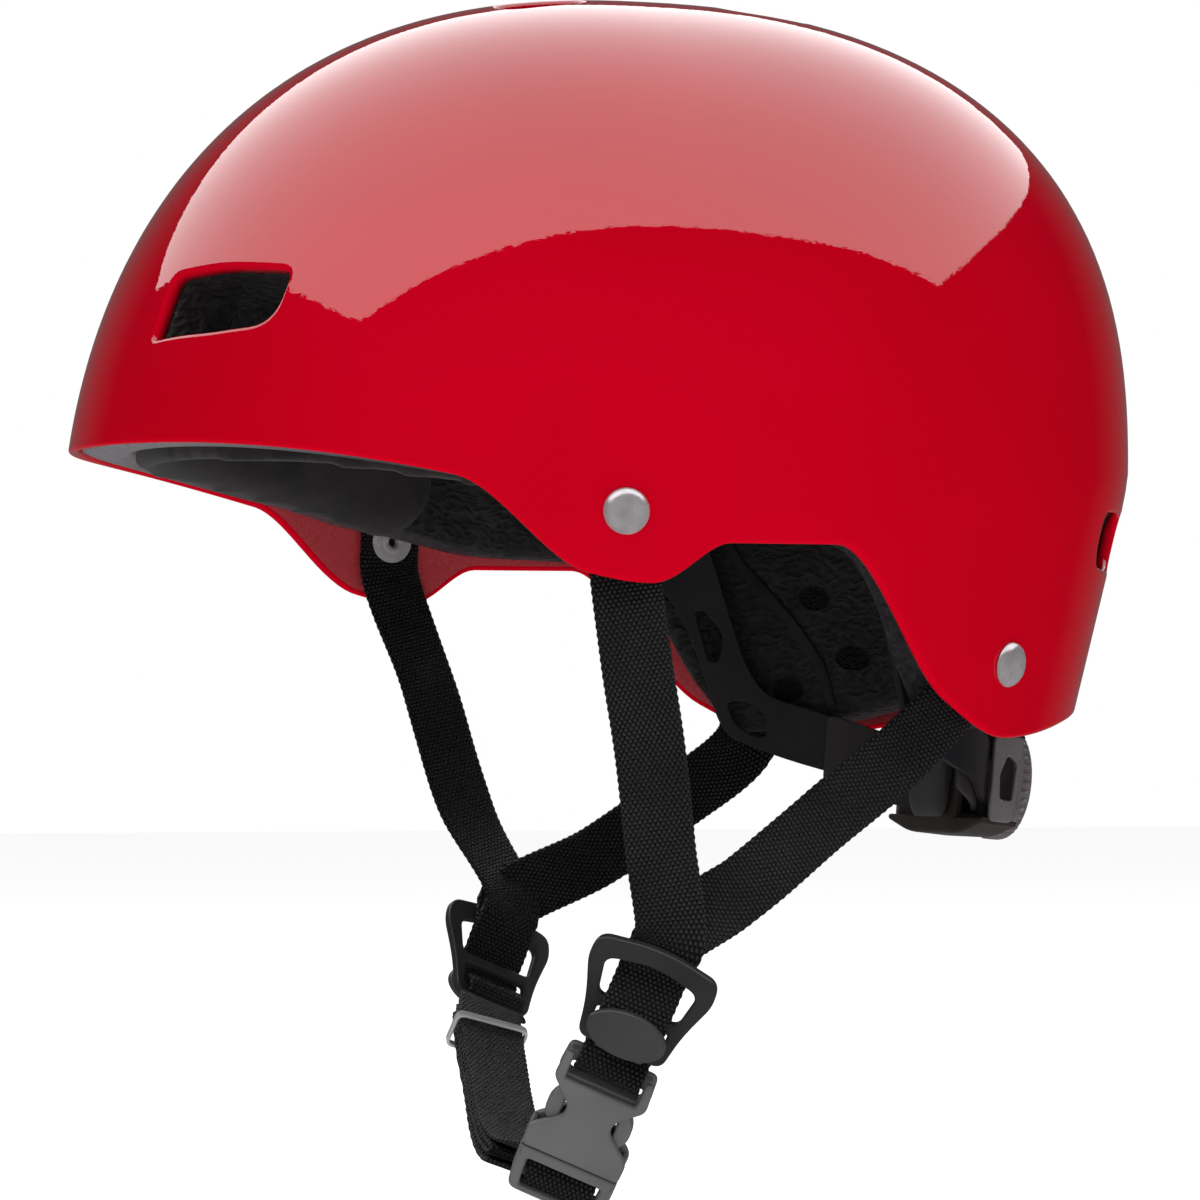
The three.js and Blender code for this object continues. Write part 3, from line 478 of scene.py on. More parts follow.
# Round patches of fine dots behind each ear: their (y, z), and the radii over which one fades.
DIMPLES = [(85, -38), (92, -55), (77, -64)]
DIMPLE_EDGE = 0.0038, 0.003


def foam(name="liner_foam", brow=False):
    """Moulded foam: flattened scale-like cells and dimples with painted shade in their hollows; for the `brow`
    edge, painted light makes it paler towards the front.
    """
    s = Surface(name, Roughness=0.5)
    spot = s.node("TexCoord").outputs["Object"]
    xyz = s.node("SeparateXYZ", {0: spot}).outputs
    drift = s.node("TexNoise", {"Vector": spot, "Scale": 160, "Detail": 2}).outputs[1]
    bent = s.node("VectorMath", {0: drift, 1: (0.006, 0.006, 0.006), 2: spot}, operation="MULTIPLY_ADD")
    squashed = s.node("VectorMath", {0: bent.outputs[0], 1: (1, 1, 1.8)}, operation="MULTIPLY").outputs[0]
    scales = s.math("POWER", s.cells(400, "SMOOTH_F1", squashed), 1.5)
    fine = s.noise(1500, 3, 0.65)
    broad = s.noise(70, 3)
    dots = s.cells(1000, "F1", spot)
    patch = 0.0
    for y, z in DIMPLES:
        dy, dz = s.math("SUBTRACT", xyz[1], y * MM), s.math("SUBTRACT", xyz[2], z * MM)
        away = s.math("SQRT", s.math("MULTIPLY_ADD", dy, dy, s.math("MULTIPLY", dz, dz)))
        patch = s.math("MAXIMUM", patch, s.span(away, 0, 1, *DIMPLE_EDGE))
    height = s.node("Mix", {0: patch, 2: scales, 3: s.math("MULTIPLY", dots, -0.8)}).outputs[0]
    tone = s.math("MULTIPLY_ADD", broad, 0.45, s.math("MULTIPLY", fine, 0.35))
    # Painted shade: the hollows of the cells and between the dots are darker, the raised parts lighter.
    tone = s.math("MULTIPLY_ADD", height, -0.4, tone)
    dark = s.ramp(tone, (0.05, (0.030, 0.027, 0.029)), (0.5, (0.007, 0.006, 0.007)))
    # Painted light on the brow edge: pale at the front tip, a painted half-lit tone behind it, the dark foam
    # further back.
    if brow:
        painted_front_light = s.ramp(fine, (0.3, (0.13, 0.115, 0.13)), (0.7, (0.24, 0.22, 0.24)))
        shade = s.ramp(fine, (0.3, (0.035, 0.03, 0.034)), (0.7, (0.07, 0.06, 0.068)))
        lit = s.blend(s.span(xyz[1], 0, 1, -0.085, -0.125), shade, painted_front_light)
        dark = s.blend(s.span(xyz[1], 0, 1, 0.0, -0.06), dark, lit)
    s.wire(dark, "Base Color")
    s.wire(s.span(fine, 0.26, 0.55), "Roughness")
    cells = s.bump(height, 0.0014, 0.8)
    s.wire(s.bump(fine, 0.0002, 0.5, cells), "Normal")
    return s.material


def pad_cloth():
    """Brushed knit over foam."""
    s = Surface("pad_cloth", Roughness=0.95, Sheen_Weight=0.08, Sheen_Roughness=0.5)
    broad = s.noise(45, 4, 0.6)
    fine = s.noise(2600, 3, 0.7)
    tone = s.math("MULTIPLY_ADD", broad, 0.55, s.math("MULTIPLY", fine, 0.45))
    s.tint(tone, (0.006, 0.005, 0.005), (0.026, 0.021, 0.020))
    soft = s.bump(broad, 0.0015, 0.3)
    s.wire(s.bump(fine, 0.0003, 0.6, soft), "Normal")
    return s.material


WEAVE_ACROSS, WEAVE_ALONG = 1.3, 1.05


def web():
    """Plain-woven webbing: rows of small yarn bumps, each row half a bump aside. UVs are in mm."""
    s = Surface("webbing", Roughness=0.7, Sheen_Weight=0.04, Sheen_Roughness=0.4)
    uv = s.node("UVMap").outputs[0]
    split = s.node("SeparateXYZ", {0: uv}).outputs
    across = s.math("DIVIDE", split[0], WEAVE_ACROSS)
    along = s.math("DIVIDE", split[1], WEAVE_ALONG)
    row = s.math("MODULO", s.math("FLOOR", along), 2.0)
    shifted = s.math("MULTIPLY_ADD", row, 0.5, across)

    def hump(value, power):
        centred = s.math("ABSOLUTE", s.math("MULTIPLY_ADD", s.math("FRACT", value), 2.0, -1.0))
        return s.math("SUBTRACT", 1.0, s.math("POWER", centred, power))

    yarn = s.math("MULTIPLY", hump(shifted, 2.0), hump(along, 2.4))
    fibre = s.noise(4200, 2, 0.6)
    worn = s.noise(60, 3)
    # Painted light: each yarn bump's crown is lighter and the gaps between bumps are darker.
    tone = s.math("MULTIPLY", yarn, s.span(fibre, 0.55, 1.2))
    tone = s.math("MULTIPLY", tone, s.span(worn, 0.6, 1.25))
    s.wire(s.ramp(tone, (0.1, (0.0006, 0.0006, 0.0008)), (0.45, (0.004, 0.004, 0.0045)),
                  (0.9, (0.027, 0.027, 0.030))), "Base Color")
    s.wire(s.bump(s.math("MULTIPLY_ADD", fibre, 0.15, yarn), 0.0006, 1.0), "Normal")
    return s.material


def plastic(name, dark, light, rough, grain=900, depth=0.4, coat=0.0):
    s = Surface(name, Coat_Weight=coat, Coat_Roughness=0.15)
    drift = s.noise(40, 3)
    fine = s.noise(grain, 3, 0.6)
    s.tint(drift, dark, light)
    s.wire(s.span(fine, rough - 0.06, rough + 0.08), "Roughness")
    s.wire(s.bump(fine, 0.00008, depth), "Normal")
    return s.material


def metal():
    s = Surface("rivet_metal", Metallic=0.5)
    scratch = s.noise(160, 2, 0.5)
    s.tint(scratch, (0.42, 0.39, 0.41), (0.62, 0.59, 0.61))
    s.wire(s.span(scratch, 0.2, 0.34), "Roughness")
    s.wire(s.bump(s.noise(260, 2), 0.0002, 0.3), "Normal")
    return s.material


PAINT, BARE, FOAM, EDGE, CLOTH, WEB, METAL = (
    paint(), bare_shell(), foam(), foam("liner_edge", True), pad_cloth(), web(), metal())
GUIDE = plastic("guide_black", (0.020, 0.020, 0.021), (0.032, 0.032, 0.034), 0.38)
BUCKLE = plastic("buckle_grey", (0.105, 0.105, 0.110), (0.135, 0.135, 0.140), 0.42)
LEVER = plastic("lever_grey", (0.040, 0.040, 0.042), (0.052, 0.052, 0.055), 0.4)
CRADLE_PLASTIC = plastic("cradle_black", (0.011, 0.010, 0.012), (0.019, 0.017, 0.020), 0.36)
HOUSING = plastic("housing_dark", (0.016, 0.012, 0.011), (0.034, 0.027, 0.025), 0.3, coat=0.15)
DIAL = plastic("dial_grey", (0.115, 0.100, 0.102), (0.15, 0.135, 0.137), 0.34, coat=0.2)
FOAM_PLAIN = plastic("foam_bead", (0.008, 0.007, 0.008), (0.02, 0.018, 0.02), 0.42, 1200, 0.8)
SLIP = plastic("slip_brown", (0.021, 0.018, 0.018), (0.030, 0.026, 0.026), 0.42)
CHEEK = plastic("cheek_grey", (0.10, 0.09, 0.092), (0.14, 0.125, 0.128), 0.28, coat=0.3)
BAND = plastic("keeper_grey", (0.40, 0.40, 0.41), (0.50, 0.50, 0.51), 0.55, depth=0.8)


# ---- Vents ----
FRONT_VENT = [(-21.5, -9.8, 3), (19, -7.5, 8), (22, 9, 5), (-18.5, 9.3, 4)]
REAR_VENT = rectangle(-18, -8, 18, 8, 7)
CROWN_VENT = rectangle(-8.5, -12, 8.5, 12, 7.5)


def crown_frame(x, y):
    phi = math.atan2(y, x)
    power, base = float(dome_power(phi)), float(widest(phi))
    reach = (math.hypot(x, y) / float(plan_radius(phi, 0))) ** power
    z = base + (CROWN - base) * (1 - reach) ** (1 / power)
    return facing((x, y, z), outward(phi, z), (0, 1, 0))


def vents():
    frames = [(FRONT_VENT, on_wall(-118, 32)), (REAR_VENT, on_wall(127, -26))]
    frames += [(CROWN_VENT, crown_frame(24, y)) for y in (-24, 37)]
    return frames


def onto_surface(points, axis, inset):
    """Slides points along an axis until they lie on the surface; returns azimuths and heights."""
    low, high = np.full(len(points), -25.0), np.full(len(points), 25.0)
    for _ in range(40):
        shift = (low + high) / 2
        p = points + shift[:, None] * axis
        phi = np.arctan2(p[:, 1], p[:, 0])
        z = np.minimum(p[:, 2], CROWN - inset - 0.01)
        outside = np.hypot(p[:, 0], p[:, 1]) > radius_at(phi, z, inset)
        low, high = np.where(outside, low, shift), np.where(outside, shift, high)
    return phi, z


def vent_loops(grow, spacing):
    """Every vent's edge, widened by `grow`, as azimuths and heights."""
    loops = []
    for outline, m in vents():
        flat = even(rounded(outline, 8), spacing)
        centre = (flat.max(0) + flat.min(0)) / 2
        flat = flat + unit(flat - centre) * grow
        points = place(m, np.column_stack([flat, np.zeros(len(flat))]))
        for side in (1, -1):
            mirror = (side, 1, 1)
            loops.append(onto_surface(points * mirror, m[:3, 2] * mirror, 0))
    return loops


# ---- Skins: the shell and the liner, each a wall between two insets of the same surface ----
def to_disc(phi, z, line):
    """Azimuth and height to the unit disc, whose middle is the crown and whose edge is the rim."""
    low = rim_height(line, phi)
    q = 2 / pi * np.arccos(np.clip((z - low) / (CROWN - low), -1, 1))
    return np.stack([q * np.cos(phi), q * np.sin(phi)], -1)


def from_disc(uv, line, inset):
    phi = np.arctan2(uv[:, 1], uv[:, 0])
    q = np.linalg.norm(uv, axis=1)
    low = rim_height(line, phi)
    z = low + (CROWN - inset - low) * np.cos(q * pi / 2)
    return surface(phi, np.minimum(z, CROWN - inset - 1e-4), inset)


def inside(points, loop):
    """Which points lie inside a closed loop."""
    x, y = points[:, 0], points[:, 1]
    hit = np.zeros(len(points), bool)
    for (x0, y0), (x1, y1) in zip(loop, np.roll(loop, -1, axis=0)):
        crosses = (y0 > y) != (y1 > y)
        with np.errstate(divide="ignore", invalid="ignore"):
            hit ^= crosses & (x < (x1 - x0) * (y - y0) / (y1 - y0) + x0)
    return hit


def flat_skin(line, rings, loops):
    """Triangles over the disc with the loops cut out: points, triangles, and each loop's indices."""
    edge = [(math.cos(a), math.sin(a)) for a in np.linspace(0, 2 * pi, rings * 6, endpoint=False)]
    fill = [(0.0, 0.0)]
    for k in range(1, rings):
        angles = np.linspace(0, 2 * pi, 6 * k, endpoint=False) + 0.5 * (k % 2) * 2 * pi / (6 * k)
        fill += [(k / rings * math.cos(a), k / rings * math.sin(a)) for a in angles]
    fill = np.array(fill)
    flats = [to_disc(phi, z, line) for phi, z in loops]
    spacing = 1 / rings
    for loop in flats:
        near = np.min(np.linalg.norm(fill[:, None] - loop[None], axis=2), axis=1) < 0.55 * spacing
        fill = fill[~(near | inside(fill, loop))]
    groups = [np.array(edge), *flats]
    points = np.concatenate([*groups, fill])
    constraints, starts, at = [], [], 0
    for g in groups:
        starts.append(np.arange(at, at + len(g)))
        constraints += [(at + i, at + (i + 1) % len(g)) for i in range(len(g))]
        at += len(g)
    out, _, tris, origin, _, _ = delaunay_2d_cdt([Vector(p) for p in points], constraints, [], 0, 1e-7)
    index = {old: new for new, olds in enumerate(origin) for old in olds}
    starts = [np.array([index[i] for i in s]) for s in starts]
    out = np.array([tuple(v) for v in out])
    tris = np.array(tris)
    middle = out[tris].mean(axis=1)
    keep = np.ones(len(tris), bool)
    for loop in flats:
        keep &= ~inside(middle, loop)
    keep &= np.linalg.norm(middle, axis=1) < 1
    return out, tris[keep], starts


def surface_normals(points, inset):
    """Unit normals of the surface, from its distance field."""
    def miss(p):
        phi = np.arctan2(p[:, 1], p[:, 0])
        return np.hypot(p[:, 0], p[:, 1]) - radius_at(phi, p[:, 2], inset)
    low = points * 1.0
    low[:, 2] = np.minimum(low[:, 2], CROWN - inset - 0.6)
    step = 0.25
    grad = np.stack([miss(low + step * e) - miss(low - step * e) for e in np.eye(3)], -1)
    n = unit(grad)
    r = np.hypot(points[:, 0], points[:, 1])
    cap = np.clip(1 - r / 12, 0, 1)[:, None]
    return unit(n * (1 - cap) + cap * (0, 0, 1))


def edge_rows(a, b, n, lip, rim):
    """Rows of points from the outer edge a to the inner edge b: a round rim, or a rolled-in vent edge."""
    ahead = unit(np.roll(a, -1, axis=0) - np.roll(a, 1, axis=0))
    away = unit(np.cross(ahead, n))
    if rim:
        away = np.where(away[:, 2:] > 0, -away, away)
        centre, half = (a + b) / 2, (a - b) / 2
        reach = min(np.linalg.norm(half, axis=1).mean(), lip)
        return [centre + half * math.cos(t) + away * reach * math.sin(t) for t in np.linspace(0, pi, 9)[1:-1]]
    if np.sum(away * (a.mean(axis=0) - a)) < 0:
        away = -away
    rows = [a + away * lip * math.sin(t) - n * lip * (1 - math.cos(t)) for t in np.linspace(0, pi / 2, 6)[1:]]
    drop = max(np.linalg.norm(a - b, axis=1).mean() - lip, lip)
    return [*rows, rows[-1] - n * (drop + 0.6)]


def skin(name, line, outer, inner, rings, loops, lip, materials, pocket=None):
    """A wall with a rounded rim and rolled-in vent edges. Materials: outside, inside, rim."""
    uv, tris, starts = flat_skin(line, rings, loops)
    top = from_disc(uv, line, outer)
    bottom = from_disc(uv, line, inner)
    normal = surface_normals(top, outer)
    if pocket:
        top = top - normal * pocket(top)[:, None]
    count = len(uv)
    verts = [top, bottom]
    total = 2 * count
    faces = [tuple(t) for t in tris] + [tuple(t[::-1] + count) for t in tris]
    parts = [0] * len(tris) + [1] * len(tris)
    for g, loop in enumerate(starts):
        rim = g == 0
        ids = [loop]
        for row in edge_rows(top[loop], bottom[loop], normal[loop], lip, rim):
            ids.append(np.arange(total, total + len(row)))
            verts.append(row)
            total += len(row)
        ids.append(loop + count)
        size = len(loop)
        flat, ahead = uv[loop], np.roll(uv[loop], -1, axis=0)
        anticlockwise = np.sum(flat[:, 0] * ahead[:, 1] - flat[:, 1] * ahead[:, 0]) > 0
        for near, far in zip(ids, ids[1:]):
            for j in range(size):
                k = (j + 1) % size
                quad = (near[j], far[j], far[k], near[k])
                faces.append(quad if anticlockwise == rim else quad[::-1])
                parts.append(2 if rim else 0)
    obj = put(name, np.concatenate(verts), faces, materials)
    for polygon, part in zip(obj.data.polygons, parts):
        polygon.material_index = part
    smooth(obj, 60)
    return obj, normal


def add_shell():
    obj, normal = skin("shell_skin", SHELL_RIM, 0, SHELL_WALL, 60, vent_loops(1.2, 1.6), 1.4,
                       [PAINT, BARE, PAINT])
    # The outer face takes the normals of the surface itself, so that its gloss has no facets.
    current = np.array([v.vector for v in obj.data.vertex_normals])
    current[: len(normal)] = normal
    obj.data.normals_split_custom_set_from_vertices(current.tolist())
    tag(obj, "outer_shell")


# ---- Stage: floor, light and camera ----
AIM = Vector((0, 0, -41)) * MM
DISTANCE = 1400 * MM
VIEW_WIDTH = 319.489 * MM
AZIMUTH, ELEVATION = rad(72), rad(-1.5)
RIGHT = Vector((math.cos(AZIMUTH), math.sin(AZIMUTH), 0))
TOWARD = Vector((math.sin(AZIMUTH), -math.cos(AZIMUTH), 0))
UP = Vector((0, 0, 1))
BACK = TOWARD * math.cos(ELEVATION) + UP * math.sin(ELEVATION)
FLOOR_HALF, FLOOR_DROP = 6.0, 0.012
WALL_FADE = (0.6, 0.98)
WALL_GLOW, AMBIENT_DARK = 0.12, 0.01


def add_stage():
    scene = bpy.context.scene
    camera = bpy.data.cameras.new("camera")
    camera.sensor_width = 36
    camera.lens = camera.sensor_width * DISTANCE / VIEW_WIDTH
    camera.clip_start, camera.clip_end = 0.05, 30
    eye = link(bpy.data.objects.new("camera", camera))
    eye.location = AIM + BACK * DISTANCE
    eye.rotation_euler = BACK.to_track_quat("Z", "Y").to_euler()
    scene.camera = eye

    floor = bpy.data.meshes.new("floor")
    corners = [(x * FLOOR_HALF, y * FLOOR_HALF, cad_box[0][2] - FLOOR_DROP)
               for x, y in ((-1, -1), (1, -1), (1, 1), (-1, 1))]
    floor.from_pydata(corners, [], [(0, 1, 2, 3)])
    white = Surface("floor_white", Roughness=0.9, Base_Color=(0.6, 0.6, 0.6, 1), Emission_Color=(1, 1, 1, 1),
                    Emission_Strength=0.93)
    floor.materials.append(white.material)
    ground = link(bpy.data.objects.new("floor", floor))
    ground.visible_glossy = False

    scene.view_settings.view_transform = "Standard"
    scene.view_settings.look = "None"
    add_world(scene)
    add_lights()


def add_world(scene):
    """White behind the object for the camera; for reflections, bright only behind it."""
    world = bpy.data.worlds.new("studio")
    tree = Nodes(world)
    direction = tree.node("TexCoord").outputs["Generated"]
    facing_wall = tree.node("VectorMath", {0: direction, 1: -BACK}, operation="DOT_PRODUCT").outputs["Value"]
    glow = tree.span(facing_wall, AMBIENT_DARK, WALL_GLOW, *WALL_FADE)
    seen = tree.node("LightPath").outputs["Is Camera Ray"]
    background = tree.nodes["Background"]
    background.inputs["Color"].default_value = (1, 1, 1, 1)
    tree.links.new(tree.node("Mix", {0: seen, 2: glow, 3: 1.0}).outputs[0], background.inputs["Strength"])
    scene.world = world


def panel(name, centre, size, radiance, diffuse, glossy, spin=0.0, flat=False):
    """A rectangular light of even brightness, aimed at the helmet or lying flat overhead."""
    light = bpy.data.lights.new(name, "AREA")
    light.shape = "RECTANGLE"
    light.size, light.size_y = size
    light.energy = radiance * pi * size[0] * size[1]
    lamp = link(bpy.data.objects.new(name, light))
    if flat:
        turn = Matrix((RIGHT, TOWARD, UP)).transposed().to_4x4() @ Matrix.Rotation(spin, 4, "Z")
    else:
        turn = (centre - AIM).to_track_quat("Z", "Y").to_matrix().to_4x4()
    lamp.matrix_world = Matrix.Translation(centre) @ turn
    lamp.visible_diffuse = diffuse
    lamp.visible_glossy = glossy


def add_lights():
    # The wide panel overhead is what the shell mirrors.
    panel("overhead", -TOWARD * 0.5 + UP * 1.2, (3.7, 3.3), 2.6, False, True, rad(-18), True)
    # Soft light from the camera's side and from above, which the shell doesn't mirror.
    panel("front_fill", TOWARD * 1.6 + UP * 0.25, (3.2, 2.4), 0.95, True, False)
    panel("top_fill", UP * 1.5 + TOWARD * 0.2, (2.4, 2.4), 1.0, True, False)
    panel("low_fill", TOWARD * 1.1 - UP * 0.9, (2.0, 1.0), 0.15, True, False)


# ---- Cradle arms: plates with slots, bent along the head ----
SLOPE = rad(6.5)
CRADLE = axes((1, 0, 0), (0, math.cos(SLOPE), -math.sin(SLOPE)), (0, math.sin(SLOPE), math.cos(SLOPE)),
              (0, 0, -77))
# Plates drawn in the cradle's X and Z, whose own height runs forward along its Y.
ACROSS = CRADLE @ axes((1, 0, 0), (0, 0, 1), (0, -1, 0))
ARM_HALF, ARM_REACH = 86.0, 105.0
ARM_TURN = np.linspace(rad(5), rad(84), 400)
ARM_PATH = np.column_stack([ARM_HALF * np.cos(ARM_TURN), ARM_REACH * np.sin(ARM_TURN)])
ARM_RUN = run(ARM_PATH)


def bend_arm(points, offset):
    """From (arc length, height, thickness) to the cradle's frame, on the left side."""
    t = np.interp(points[:, 0], ARM_RUN, ARM_TURN)
    grow = points[:, 2] + offset
    return np.stack([(ARM_HALF + grow) * np.cos(t), (ARM_REACH + grow) * np.sin(t), points[:, 1]], -1)


def bent_plate(name, loops, half, bevel, offset, material, body, mirror):
    """A plate from loops of (y, height, radius) corners, bent along the arm's curve."""
    flat_loops = []
    for y, height in (rounded(loop).T for loop in loops):
        flat_loops.append(np.column_stack([np.interp(y, ARM_PATH[:, 1], ARM_RUN), height]))
    obj = slab(name, flat_loops, -half, half, bevel, np.eye(4), material, None)
    with edited(obj) as bm:
        along = [v.co.x for v in bm.verts]
        for x in np.arange(min(along), max(along), 2.5 * MM)[1:]:
            bmesh.ops.bisect_plane(bm, geom=bm.verts[:] + bm.edges[:] + bm.faces[:],
                                   plane_co=(x, 0, 0), plane_no=(1, 0, 0))
        flat = np.array([v.co for v in bm.verts]) / MM
        bent = place(CRADLE, bend_arm(flat, offset)) * ((-1, 1, 1) if mirror else (1, 1, 1))
        for v, p in zip(bm.verts, bent):
            v.co = p * MM
        bmesh.ops.recalc_face_normals(bm, faces=bm.faces)
    smooth(obj, 40)
    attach(weighted(obj), body)
    return obj


ARM_OUTLINE = [(26, 65, 7), (26, 56, 6), (38.5, 47, 8), (45.8, 38.7, 8), (52.8, 23.5, 8), (57.6, 10.9, 6),
               (61, 6.2, 5), (73.2, 2.2, 8), (89.9, -2, 8), (94, -5.4, 6), (99.2, -7, 1),
               (99.2, 9.2, 1), (96, 9.8, 5), (85.3, 14.9, 6), (68.7, 19, 8), (63.3, 26.9, 7),
               (58.1, 40, 8), (51.5, 57.6, 8), (47, 66, 7)]
UPRIGHT_SLOT = [(48.8, 40.6, 1.4), (51, 41.4, 1.4), (57, 35, 3), (56.2, 27.2, 1.4), (53.7, 27.2, 1.2)]
CORNER_SLOT = [(59.4, 16.6, 2), (64.4, 17, 2), (69, 13.9, 2), (70.2, 7.4, 1.5), (66.4, 7.4, 2), (61.6, 10.8, 2)]
# The housing's sleeve, which reaches forward over the inner face of the band.
SLEEVE = [(84, 15.6, 2.5), (98, 10.5, 2), (102, 9.6, 1), (102, -9, 1), (96, -7.8, 2), (84.5, -4.2, 2.5)]
PINION_RADIUS, PINION_TEETH = 6, 12
RACK_TIP, RACK_ROOT, RACK_TOP = 5.65, 7.1, 9.4


def add_cradle():
    pitch = 2 * pi * PINION_RADIUS / PINION_TEETH
    teeth = []
    for x in np.arange(-4.5 * pitch, 5 * pitch, pitch):
        teeth += [(x - 0.75, RACK_ROOT), (x - 0.3, RACK_TIP), (x + 0.3, RACK_TIP), (x + 0.75, RACK_ROOT)]
    rack = [(30, RACK_TOP), (-17, RACK_TOP), (-17, RACK_ROOT), *teeth, (30, RACK_ROOT)]
    step = [(26, 5), (30, 5), (30, 7.6), (26, 7.6)]
    for side, mirror in SIDES:
        body = side + "_arm"
        arm = bent_plate(side + "_arm_plate", [ARM_OUTLINE, UPRIGHT_SLOT, CORNER_SLOT], 1.0, 0.45, 0,
                         CRADLE_PLASTIC, body, mirror)
        tag(arm, side + "_cradle_arm")
        sleeve = bent_plate(side + "_sleeve", [SLEEVE], 0.7, 0.35, -1.95, SLIP, "nape_cradle", mirror)
        tag(sleeve)
        flip = (1, -1 if mirror else 1)
        for name, shape, rear, front in (("_rack", rack, 0, 2), ("_rack_step", step, 1, 7)):
            tag(slab(side + name, [np.array(shape) * flip], rear - ARM_REACH, front - ARM_REACH, 0.12, ACROSS,
                     CRADLE_PLASTIC, body, mirror))


# The housing's planes, from the head outwards, and half its width and its room's height.
HOUSING_FRONT, MIDDLE_REAR, HOUSING_REAR, RIM_FRONT, RIM_REAR = 97, 99.2, 107.7, 108.1, 111
HOUSING_HALF, ROOM_HALF, HOUSING_TOP = 34, 10.7, 12.2


def add_housing():
    def piece(name, corners, y0, y1, bevel, material, node=None):
        obj = weighted(slab(name, [rounded(corners)], -y1, -y0, bevel, ACROSS, material, "nape_cradle"))
        tag(obj, node)

    w, room, top = HOUSING_HALF, ROOM_HALF, HOUSING_TOP
    roof = [(-w, room, 0.6), (w, room, 0.6), (w, top, 1), (-w, top, 1)]
    base = [(-w, -room, 0.6), (w, -room, 0.6), (w, -top, 1), (18, -15.5, 6), (-18, -15.5, 6), (-w, -top, 1)]
    cover = [(-27, -11.4, 4), (-15, -13.4, 5), (15, -13.4, 5), (27, -11.4, 4), (27, 11.6, 5), (-27, 11.6, 5)]
    piece("housing_middle", rectangle(-15, -12, 15, 10, 2), HOUSING_FRONT, MIDDLE_REAR, 0.6, HOUSING,
          "cradle_housing")
    piece("housing_roof", roof, HOUSING_FRONT, HOUSING_REAR, 0.8, HOUSING)
    piece("housing_base", base, HOUSING_FRONT, HOUSING_REAR, 0.8, HOUSING)
    piece("housing_rim", cover, RIM_FRONT, RIM_REAR, 0.7, DIAL, "housing_cover")
    # Side plates slant over the ends; each has a window on to the rack.
    outline = [(99.4, -11.6, 1.5), (106, -11.6, 2), (107.2, 11.6, 1.5), (98.6, 11.6, 2)]
    window = [(101.8, -5.6, 1), (105.2, -5.6, 1), (105.6, 4.4, 1), (103, 6.6, 2), (101.2, 1, 1)]
    stand = CRADLE @ axes((0, 1, 0), (0, 0, 1), (1, 0, 0))
    for side, mirror in SIDES:
        cheek = weighted(slab("housing_cheek_" + side, [rounded(outline), rounded(window)], w - 1.4, w + 0.6,
                              0.5, stand, CHEEK, "nape_cradle", mirror))
        tag(cheek)


def add_dial():
    front, ribs, grip = 111.5, 38, 1.05
    stand = CRADLE @ axes((1, 0, 0), (0, 0, -1), (0, 1, 0))

    def ripple(angle, r, h):
        depth = grip if front + 0.8 < h < front + 7.2 and r > 12.5 else 0
        return depth * (np.clip(np.cos(angle * ribs) * 2.2, -1, 1) - 1) / 2

    profile = [(0, 0), (10, 0), (14.0, 0), (15.0, 0.3), (15.4, 0.9), (15.5, 1.3), (15.5, 2.6), (15.45, 4.6),
               (15.1, 6.0), (14.3, 7.1), (13.2, 7.7), (12, 8.0), (11.4, 7.9), (10.9, 7.3), (10.4, 7.1),
               (6, 7.4), (0, 7.5)]
    knob = turned("dial_knob", [(r, front + h) for r, h in profile], stand, DIAL, "dial", segments=ribs * 8,
                  ripple=ripple)
    tag(knob, "fit_dial")
    hub = [(0, 105.5), (3.8, 105.5), (3.8, front + 0.5), (0, front + 0.5)]
    tag(turned("dial_hub", hub, stand, DIAL, "dial"))


# ---- Rivets ----
def add_rivets():
    # The washer's face, behind the webbing; the rivet's tube is clenched beyond it.
    low = -(WEB_SEAT + 1.5)
    dome = [(0, 2.05), (1.5, 2.12), (2.6, 2.2), (3.6, 2.15), (4.6, 1.8), (5.3, 1.2), (5.75, 0.55), (5.8, 0.2),
            (5.6, 0.02), (2.1, 0.0), (2.1, low - 1.1)]
    tube = [(2.1, low - 1.1), (2.4, low - 1.35), (3.1, low - 1.4), (3.4, low - 1.8), (3.2, low - 2.3),
            (2.5, low - 2.5), (1.7, low - 2.2), (1.3, low - 1.2), (1.2, -2), (0, -1.9)]
    ring = [(2.4, low - 0.9), (5.5, low - 0.9), (5.85, low - 0.75), (5.9, low - 0.4), (5.75, low - 0.1),
            (5.5, low), (2.4, low), (2.4, low - 0.9)]
    for end, at in RIVETS.items():
        for side, mirror in SIDES:
            name = f"{side}_{end}"
            head = turned(name + "_rivet_head", dome + tube, on_wall(*at), METAL, mirror=mirror)
            tag(head, name + "_rivet")
            washer = turned(name + "_rivet_washer", ring, on_wall(*at), METAL, mirror=mirror)
            tag(washer, name + "_washer")


# ---- Liner ----
def pocket_depth(points):
    """How far the liner's outer face stands back to make room for the webbing's ends."""
    depth = np.zeros(len(points))
    for y, z in RIVETS.values():
        near = np.hypot((points[:, 1] - y) / 15, (points[:, 2] - z) / 17)
        depth = np.maximum(depth, 8.5 * np.clip(1.6 - near * 1.25, 0, 1))
    return depth


# The moulded bead inside, behind each ear.
SEAM = [(60, -4), (62, -14), (66, -26), (73, -36), (80, -47), (85, -58), (86.5, -69)]


def add_liner():
    obj, _ = skin("liner_skin", LINER_RIM, LINER_OUT - 0.8, LINER_IN, 56, vent_loops(2.6, 2.2), 2.4,
                  [FOAM, FOAM, EDGE], pocket_depth)
    tag(obj, "foam_liner")
    stations = []
    for y, z in SEAM:
        phi = azimuth_of(y, z, LINER_IN)
        stations.append((surface(phi, z, LINER_IN), np.cross(outward(phi, z), (0, 0.4, -1))))
    for side, mirror in SIDES:
        ribbon(side + "_liner_bead", even_frames(Line(stations), 1.5), FOAM_PLAIN, mirror=mirror,
               width=3.4, thick=1.6)


# ---- Pads ----
VOXEL = 2.6 * MM
PUFF_PRESSURE, PUFF_FRAMES = 4.0, 20


